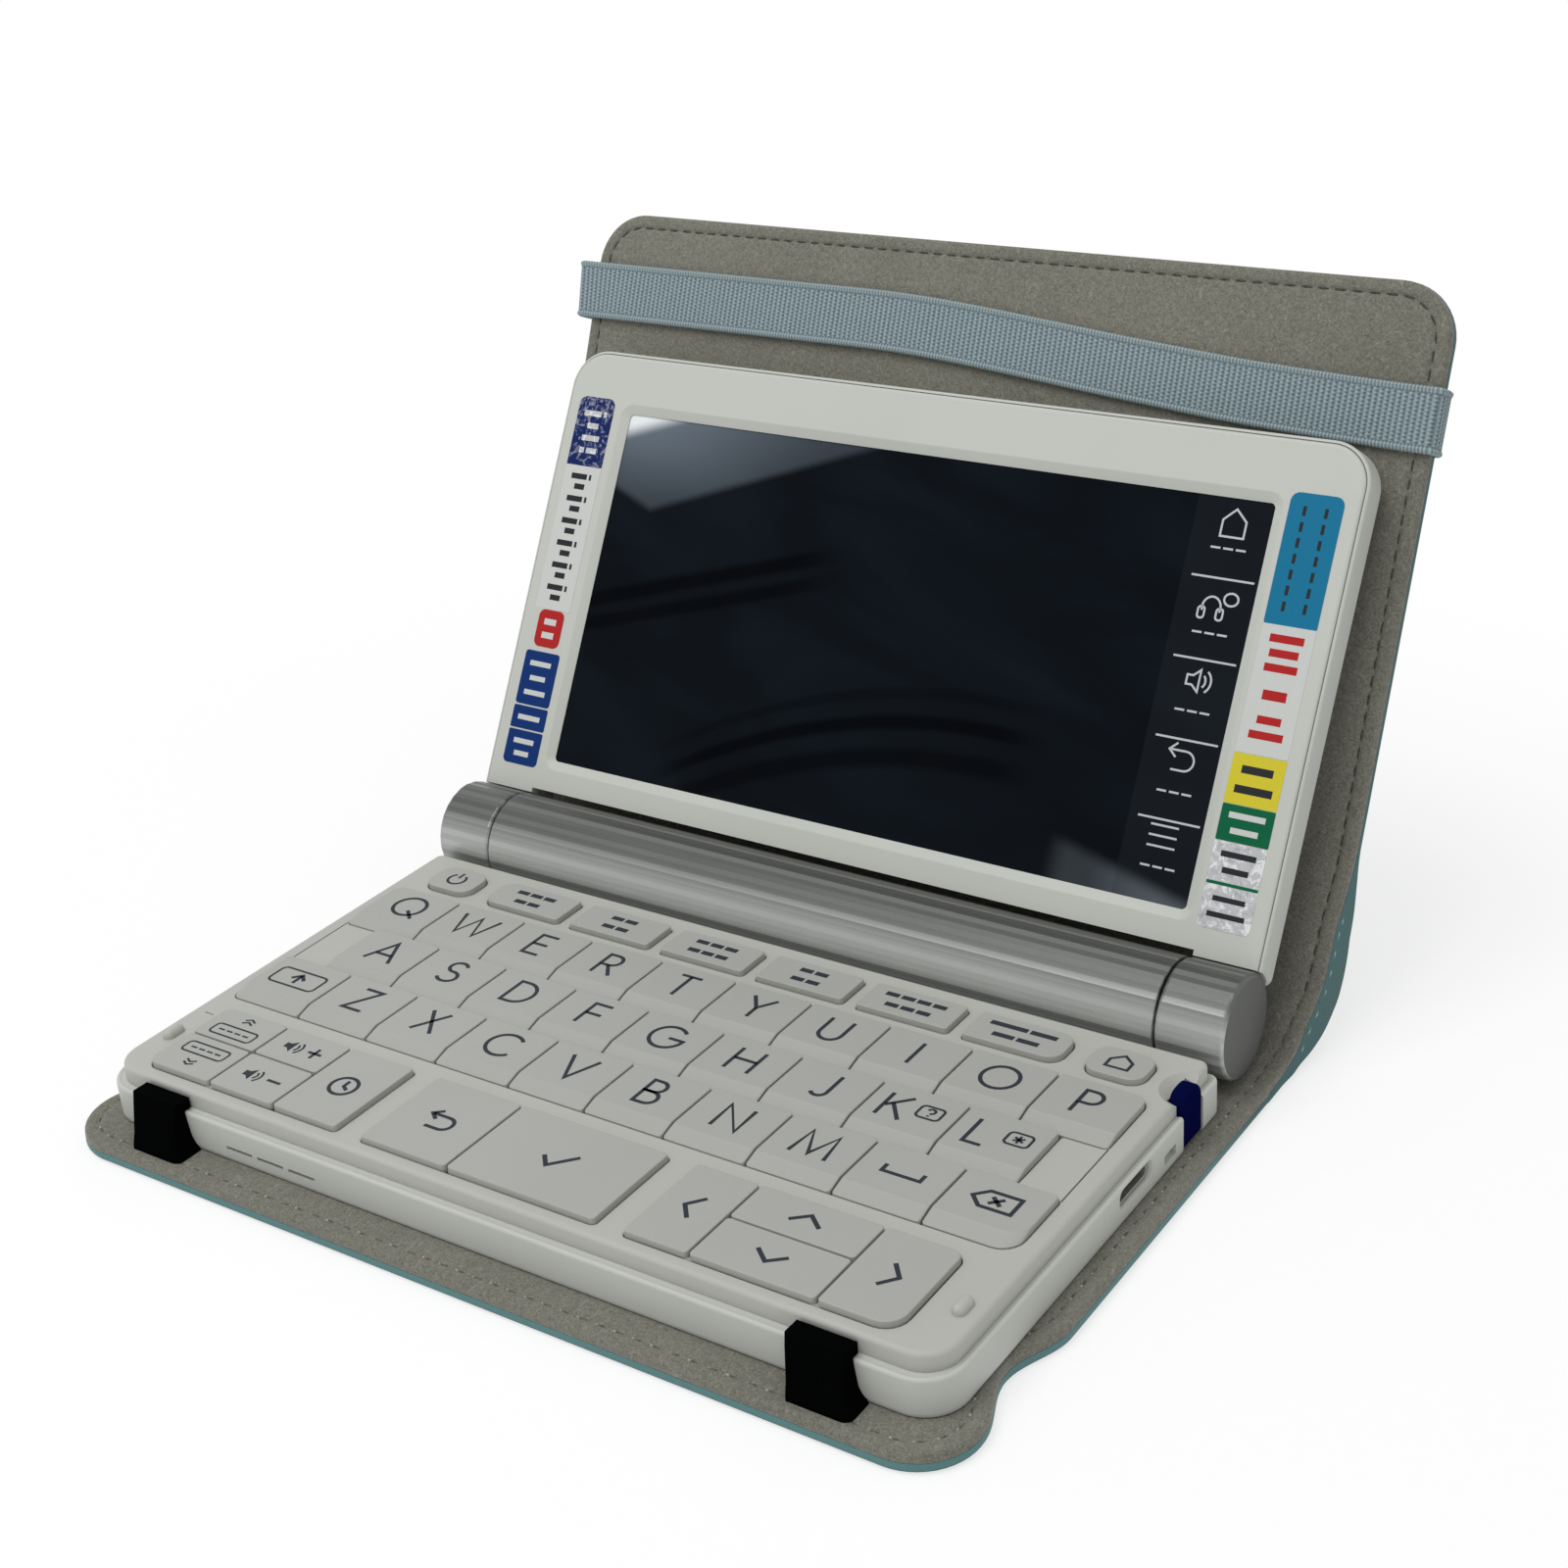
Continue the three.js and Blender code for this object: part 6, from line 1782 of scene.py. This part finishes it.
def band_path():
    """Points (x, n) of the ribbon's middle, from its tail behind the left side to that behind the right."""
    back_n, front_n = -3.85, 0.82
    middle_n, half_n = (back_n + front_n) / 2, (front_n - back_n) / 2
    angle = np.linspace(-np.pi / 2, -1.5 * np.pi, 25)
    left = np.column_stack([-80.2 + 1.6 * np.cos(angle), middle_n + half_n * np.sin(angle)])
    angle = np.linspace(np.pi / 2, -np.pi / 2, 25)
    right_side = np.column_stack([78.8 + 0.62 * np.cos(angle), middle_n + half_n * np.sin(angle)])
    tail = [(-61.8, back_n)]
    return even_line(np.vstack([tail, left, right_side, [(61.8, back_n)]]), 0.42)


def smooth_step(values, low, high):
    """0 below low, 1 above high, and 3t^2 - 2t^3 between."""
    t = np.clip((values - low) / (high - low), 0, 1)
    return t * t * (3 - 2 * t)


path_points = band_path()
path_normal = line_normals(path_points)
path_x, path_n = path_points.T
band_middle = BAND_LEFT_U - 4.6 * smooth_step(path_x, -22.0, 52.0) - 1.5 * smooth_step(path_x, 30.0, 80.0)
print("the band's path is", round(float(run_of(path_points)[-1]), 1), "mm long")

# %% Section of the band
RIBBON = 4.95
cord_t = np.array([3.9, 4.05, 4.2, 4.45, 4.7, 4.89, RIBBON])
across_t = np.concatenate([-cord_t[::-1], np.linspace(-3.7, 3.7, 15), cord_t])
edge = np.abs(across_t)
thick = np.where(edge > 3.95, 0.34 + 0.24 * np.sin(np.clip(RIBBON - edge, 0, 1) * np.pi), 0.36)
thick = np.where(edge > 4.85, np.where(edge > 4.94, 0.05, 0.26), thick)
ring_t = np.concatenate([across_t, across_t[::-1]])
ring_h = np.concatenate([thick, -thick[::-1]])
print("the band is", 2 * RIBBON, "mm wide and up to", round(2 * float(thick.max()), 2), "mm thick")

# %% Elastic band
rows, columns = len(path_points), len(ring_t)
left_share = smooth_step(-path_x, 70.0, 80.0)
x = path_x[:, None] + path_normal[:, :1] * ring_h - left_share[:, None] * (0.35 + 0.1 * ring_t)
n = path_n[:, None] + path_normal[:, 1:] * ring_h
u = band_middle[:, None] + ring_t
points = cover_place(np.stack([x, u, n], 2).reshape(-1, 3))
faces = ring_faces(rows, columns)
faces.append(list(range(columns))[::-1])
faces.append(list(range((rows - 1) * columns, rows * columns)))
band = new_object("elastic_band_skin", points, [face[::-1] for face in faces])
uv_point = np.stack([np.repeat(run_of(path_points), columns), np.tile(ring_t, rows)], 1) * MILLI
loops = np.zeros(len(band.data.loops), np.int64)
band.data.loops.foreach_get("vertex_index", loops)
band.data.uv_layers.new(name="ribbon").data.foreach_set("uv", uv_point[loops].astype(np.float32).ravel())
paint(crisp(band, 75, weighted=False), ELASTIC)
tacks = []
for x, middle in ((-63.4, BAND_LEFT_U), (63.4, BAND_RIGHT_U)):
    line = np.array([(x, middle - 4.3), (x, middle + 4.3)])
    tacks.append(seam("tack", line, cover_place, -4.2, PALE_THREAD, 1.5, 1.1, 0.4, 0.22, 0.8, -1.0))
band = join("elastic_band_skin", [band, *tacks])
finished(band, "elastic_band", "elastic", "cover")

# %% [markdown]
# ## Clips and stylus
# Two black clips hook over the body's front rim. Their front slopes down to a foot on the case that flares
# out to the right, with a rounded corner: each ring has its own left and right reach. The stylus sits in
# its pocket with a rounded head level with the deck.

# %% Clips
def black_plastic():
    """Black moulded plastic with fine pores."""
    tree = Tree("clip_black")
    grain = tree.noise(2600.0, 3.0)
    pores = tree.cells(2600.0)
    shade = tree.mix(grain, srgb(1, 2, 1), srgb(5, 6, 6))
    return tree.finish(shade, 0.5 + 0.2 * grain, tree.bump(pores, 0.00005, 0.7), Specular_IOR_Level=0.003)


CLIP = black_plastic()
# Each ring's left, right and front reach, its height and the radius of its right front corner.
CLIP_STEPS = (
    (3.7, 5.7, 4.7, -0.05, 1.4), (3.75, 5.5, 4.6, 0.45, 1.3), (3.9, 4.75, 4.25, 1.2, 1.1),
    (4.1, 4.3, 3.75, 2.1, 0.8), (4.6, 4.0, 2.9, 4.0, 0.5), (5.1, 3.75, 2.05, 6.05, 0.35),
    (5.35, 3.6, 1.45, 7.8, 0.35),
)


def clip(name, x):
    """Flared claw: rings of rising height, joined with the hook over the rim and bevelled."""
    def ring(left, right, front, z, turn):
        a = np.linspace(-np.pi / 2, 0, 5)
        corner = np.column_stack([x + right - turn + turn * np.cos(a), -front + turn + turn * np.sin(a)])
        return level(np.vstack([[(x - left, -front)], corner, [(x + right, -0.1), (x - left, -0.1)]]), z)

    made = loft(name, [ring(*step) for step in CLIP_STEPS], body_place)
    hook = block("hook", (x - 5.3, -0.6, 6.05), (x + 3.65, 1.25, 7.8), body_place)
    cut(made, [hook], "UNION")
    bevel = made.modifiers.new("edges", "BEVEL")
    bevel.width = 0.4 * MILLI
    bevel.segments = 3
    bevel.limit_method = "ANGLE"
    bevel.angle_limit = np.radians(40)
    return crisp(settled(made), 45)


for node, x in (("left_clip", -59.1), ("right_clip", 57.6)):
    finished(clip(node + "_skin", x), node, "clip_plastic", "base", CLIP)

# %% Stylus
def navy_plastic():
    """Glossy navy plastic, faintly cloudy."""
    tree = Tree("stylus_navy")
    wide = tree.noise(300.0, 3.0)
    fine = tree.noise(4000.0, 2.0)
    shade = tree.mix(wide * 0.5 + fine * 0.5, srgb(5, 8, 44), srgb(10, 14, 66))
    return tree.finish(shade, 0.28 + 0.12 * fine, tree.bump(fine, 0.000008), Specular_IOR_Level=0.0)


NAVY = navy_plastic()
HEAD_BOX, HEAD_RADII = rectangle(66.98, 0.38, 72.92, 8.9), [0.5, 0.5, 2.3, 2.3]
HEAD_STEPS = ((-0.2, 71.42), (0.0, 71.6), (0.0, 73.45), (-0.12, 73.75), (-0.4, 73.96), (-0.6, 73.98))
SHAFT_STEPS = ((-10.0, 0.3), (-9.8, 0.6), (-9.0, 0.85), (-7.0, 1.55), (-6.8, 1.6), (72.0, 1.6))
head = loft("stylus_head", [lying(HEAD_BOX, HEAD_RADII, grow, x) for grow, x in HEAD_STEPS], body_place)
crisp(head, 50)
angle = np.arange(32) * 2 * np.pi / 32
shaft_rings = [upright(circle(STYLUS_Y, STYLUS_Z, radius, angle), x) for x, radius in SHAFT_STEPS]
shaft = loft("stylus_shaft", shaft_rings, body_place)
crisp(shaft, 50)
stylus = join("stylus_skin", [head, shaft])
finished(stylus, "stylus", "stylus_plastic", "stylus", NAVY)

# %% [markdown]
# ## Inside
# The board, the socket and the speaker are seen only through the slots and the gaps: a plate, a pressed tin
# shell with its tongue and contacts, and a round cone. The cells keep their CAD form and get a printed
# sleeve.

# %% Board
def board_material():
    """Green solder mask over fine tracks."""
    tree = Tree("board_mask")
    tracks = tree.cells(900.0, "DISTANCE_TO_EDGE").ramp(0.02, 0.06)
    shade = tree.mix(tracks, (0.02, 0.08, 0.035), (0.03, 0.15, 0.06))
    return tree.finish(shade, 0.5)


def tin_material():
    """Pressed tin with faint drawing lines."""
    tree = Tree("socket_tin")
    drawn_out = tree.stretched((400.0, 6000.0, 400.0))
    lines = tree.node("ShaderNodeTexNoise", None, {"Vector": drawn_out, "Scale": 1.0})
    shade = tree.mix(lines, (0.34, 0.34, 0.33), (0.52, 0.52, 0.5))
    return tree.finish(shade, 0.3 + 0.2 * lines, None, Metallic=0.8)


def dark_material():
    """Dark moulded insert of the socket and cone of the speaker."""
    tree = Tree("socket_insert")
    fine = tree.noise(3000.0, 2.0)
    return tree.finish(tree.mix(fine, (0.02, 0.02, 0.02), (0.035, 0.035, 0.034)), 0.6)


TIN, INSERT = tin_material(), dark_material()
board = loft("board", [level(outline(rectangle(-71.1, 2.9, 71.1, 73.5), [4.0, 4.0, 1.0, 1.0], grow), z)
                       for grow, z in ((-0.05, 4.99), (0.0, 5.04), (0.0, 5.8), (-0.05, 5.85))], body_place)
cut(board, [block("stylus_room", (69.3, 66.4, 4.0), (75.0, 73.6, 7.0), body_place)])
crisp(board)
paint(board, board_material())
print("board:", len(board.data.polygons), "faces")

# %% Socket and speaker
shell_box = rectangle(USB_Y - 4.35, 2.62, USB_Y + 4.35, 4.96)
shell = loft("shell", [lying(shell_box, 0.9, 0.0, x) for x in (66.6, 73.3)], body_place)
hollow = loft("hollow", [lying(shell_box, 0.9, -0.3, x) for x in (67.4, 75.0)], body_place)
cut(shell, [hollow])
crisp(shell)
paint(shell, TIN)
tongue = block("tongue", (66.9, USB_Y - 2.9, 3.5), (72.2, USB_Y + 2.9, 4.2), body_place)
paint(crisp(tongue), INSERT)
contacts = []
for y in (-2.0, -1.0, 0.0, 1.0, 2.0):
    contact = block("contact", (69.0, USB_Y + y - 0.22, 3.44), (72.1, USB_Y + y + 0.22, 3.52), body_place)
    contacts.append(paint(contact, TIN))
speaker_ring = outline(rectangle(-46.8, 5.0, -30.8, 21.0), 8.0, 0.0, 12)
speaker_middle = np.array([-38.8, 13.0])
cone_steps = ((0.5, 2.9), (0.86, 2.4), (0.98, 2.4), (1.0, 2.5), (1.0, 4.9))
cone_rings = [level(speaker_ring * share + speaker_middle * (1 - share), z) for share, z in cone_steps]
speaker = loft("speaker", cone_rings, body_place)
paint(crisp(speaker), INSERT)
board = join("main_board_skin", [board, shell, tongue, *contacts, speaker])
finished(board, "main_board", "circuit_board", "base")


# %% Cells
def cell_material():
    """Printed sleeve, dark with a gold band for each cell."""
    tree = Tree("cell_sleeve")
    x, y, z = tree.axes()
    band_mark = (x * 1000.0 / 50.0).part().below(0.72)
    fine = tree.noise(1500.0, 2.0)
    shade = tree.mix(band_mark, (0.45, 0.36, 0.16), (0.05, 0.06, 0.08))
    shade = tree.mix(fine * 0.2, shade, (0.5, 0.5, 0.5))
    return tree.finish(shade, 0.3 + 0.1 * fine, None, Metallic=0.5)


cells = bpy.data.objects["battery_pair"]
sleeve = cell_material()
for slot in cells.material_slots:
    slot.link = "OBJECT"
    slot.material = sleeve
print("battery_pair keeps its form with", sleeve.name)

# %% [markdown]
# ## Floor, light and camera
# A pale floor that only keeps the object's shadow, a large soft lamp above and behind, and the camera where
# the photographer stood.

# %% Floor
FLOOR_REACH = 3.0
floor_corners = rectangle(-FLOOR_REACH, -FLOOR_REACH, FLOOR_REACH, FLOOR_REACH)
floor = new_object("floor", level(floor_corners, 0.0), [(0, 1, 2, 3)])
floor.location.z = -0.0002


def white_rays(tree):
    """1 for camera, glossy and transmission rays, else 0."""
    path = tree.nodes.new("ShaderNodeLightPath")
    names = ("Is Camera Ray", "Is Glossy Ray", "Is Transmission Ray")
    rays = [Wire(tree, path.outputs[name]) for name in names]
    return rays[0].most(rays[1]).most(rays[2])


def floor_material():
    """Pale matte floor, seen partly as plain white, and wholly white beyond the object's shadow."""
    tree = Tree("floor_white")
    fine = tree.noise(400.0, 2.0)
    shade = tree.mix(fine, (0.93, 0.93, 0.93), (0.97, 0.97, 0.97))
    tree.finish(shade, 0.9, None, Specular_IOR_Level=0.0)
    lit = tree.output.inputs["Surface"].links[0].from_socket
    x, y, z = tree.axes()
    distance = (x * x + y * y) ** 0.5
    share = white_rays(tree) * distance.ramp(0.10, 0.28, 0.7, 1.0)
    glow = tree.node("ShaderNodeEmission", None, {"Color": (1.0, 1.0, 1.0), "Strength": 1.0})
    mixed = tree.node("ShaderNodeMixShader", None, [share, Wire(tree, lit), glow])
    tree.links.new(mixed.socket, tree.output.inputs["Surface"])
    return tree.owner


floor.data.materials.append(floor_material())
print("floor:", 2 * FLOOR_REACH, "m wide")

# %% White room
ROOM_LIGHT = 0.62
studio = Tree("studio", bpy.data.worlds.new("studio"))
lit_room = studio.node("ShaderNodeBackground", None, {"Color": (1.0, 1.0, 1.0), "Strength": ROOM_LIGHT})
seen_room = studio.node("ShaderNodeBackground", None, {"Color": (1.0, 1.0, 1.0), "Strength": 1.0})
room = studio.node("ShaderNodeMixShader", None, [white_rays(studio), lit_room, seen_room])
studio.links.new(room.socket, studio.output.inputs["Surface"])
bpy.context.scene.world = studio.owner
print("the room's light:", ROOM_LIGHT)

# %% Lamp
def lamp(name, place, aim, size, power):
    """Square area lamp at a place in metres, turned to its aim."""
    light = bpy.data.lights.new(name, "AREA")
    light.size = size
    light.energy = power
    made = bpy.data.objects.new(name, light)
    made.location = place
    direction = Vector(aim) - Vector(place)
    made.rotation_euler = direction.to_track_quat("-Z", "Y").to_euler()
    bpy.context.scene.collection.objects.link(made)
    return made


lamp("key_lamp", (-0.14, -0.30, 0.95), (0, 0, 0.03), 0.6, 5.0)
print("lamps:", len(bpy.data.lights))

# %% Camera
azimuth, elevation, roll = np.radians(35.4911), np.radians(25.5832), np.radians(-4.2382)
back = np.array([np.sin(azimuth) * np.cos(elevation), -np.cos(azimuth) * np.cos(elevation), np.sin(elevation)])
right = np.cross([0, 0, 1], back)
right /= np.linalg.norm(right)
up = np.cross(back, right)
side_axis = np.cos(roll) * right + np.sin(roll) * up
top_axis = -np.sin(roll) * right + np.cos(roll) * up
lens = bpy.data.cameras.new("camera")
lens.sensor_width = 36.0
lens.lens = 56.205
lens.clip_start = 0.01
lens.clip_end = 20.0
camera = bpy.data.objects.new("camera", lens)
pose = Matrix.Identity(4)
for i in range(3):
    pose[i][0], pose[i][1], pose[i][2] = float(side_axis[i]), float(top_axis[i]), float(back[i])
pose.translation = (0.19812, -0.24207, 0.20281)
camera.matrix_world = pose
bpy.context.scene.collection.objects.link(camera)
bpy.context.scene.camera = camera
bpy.context.scene.view_settings.view_transform = "Standard"
print("camera at", np.round(np.array(pose)[:3, 3], 4))
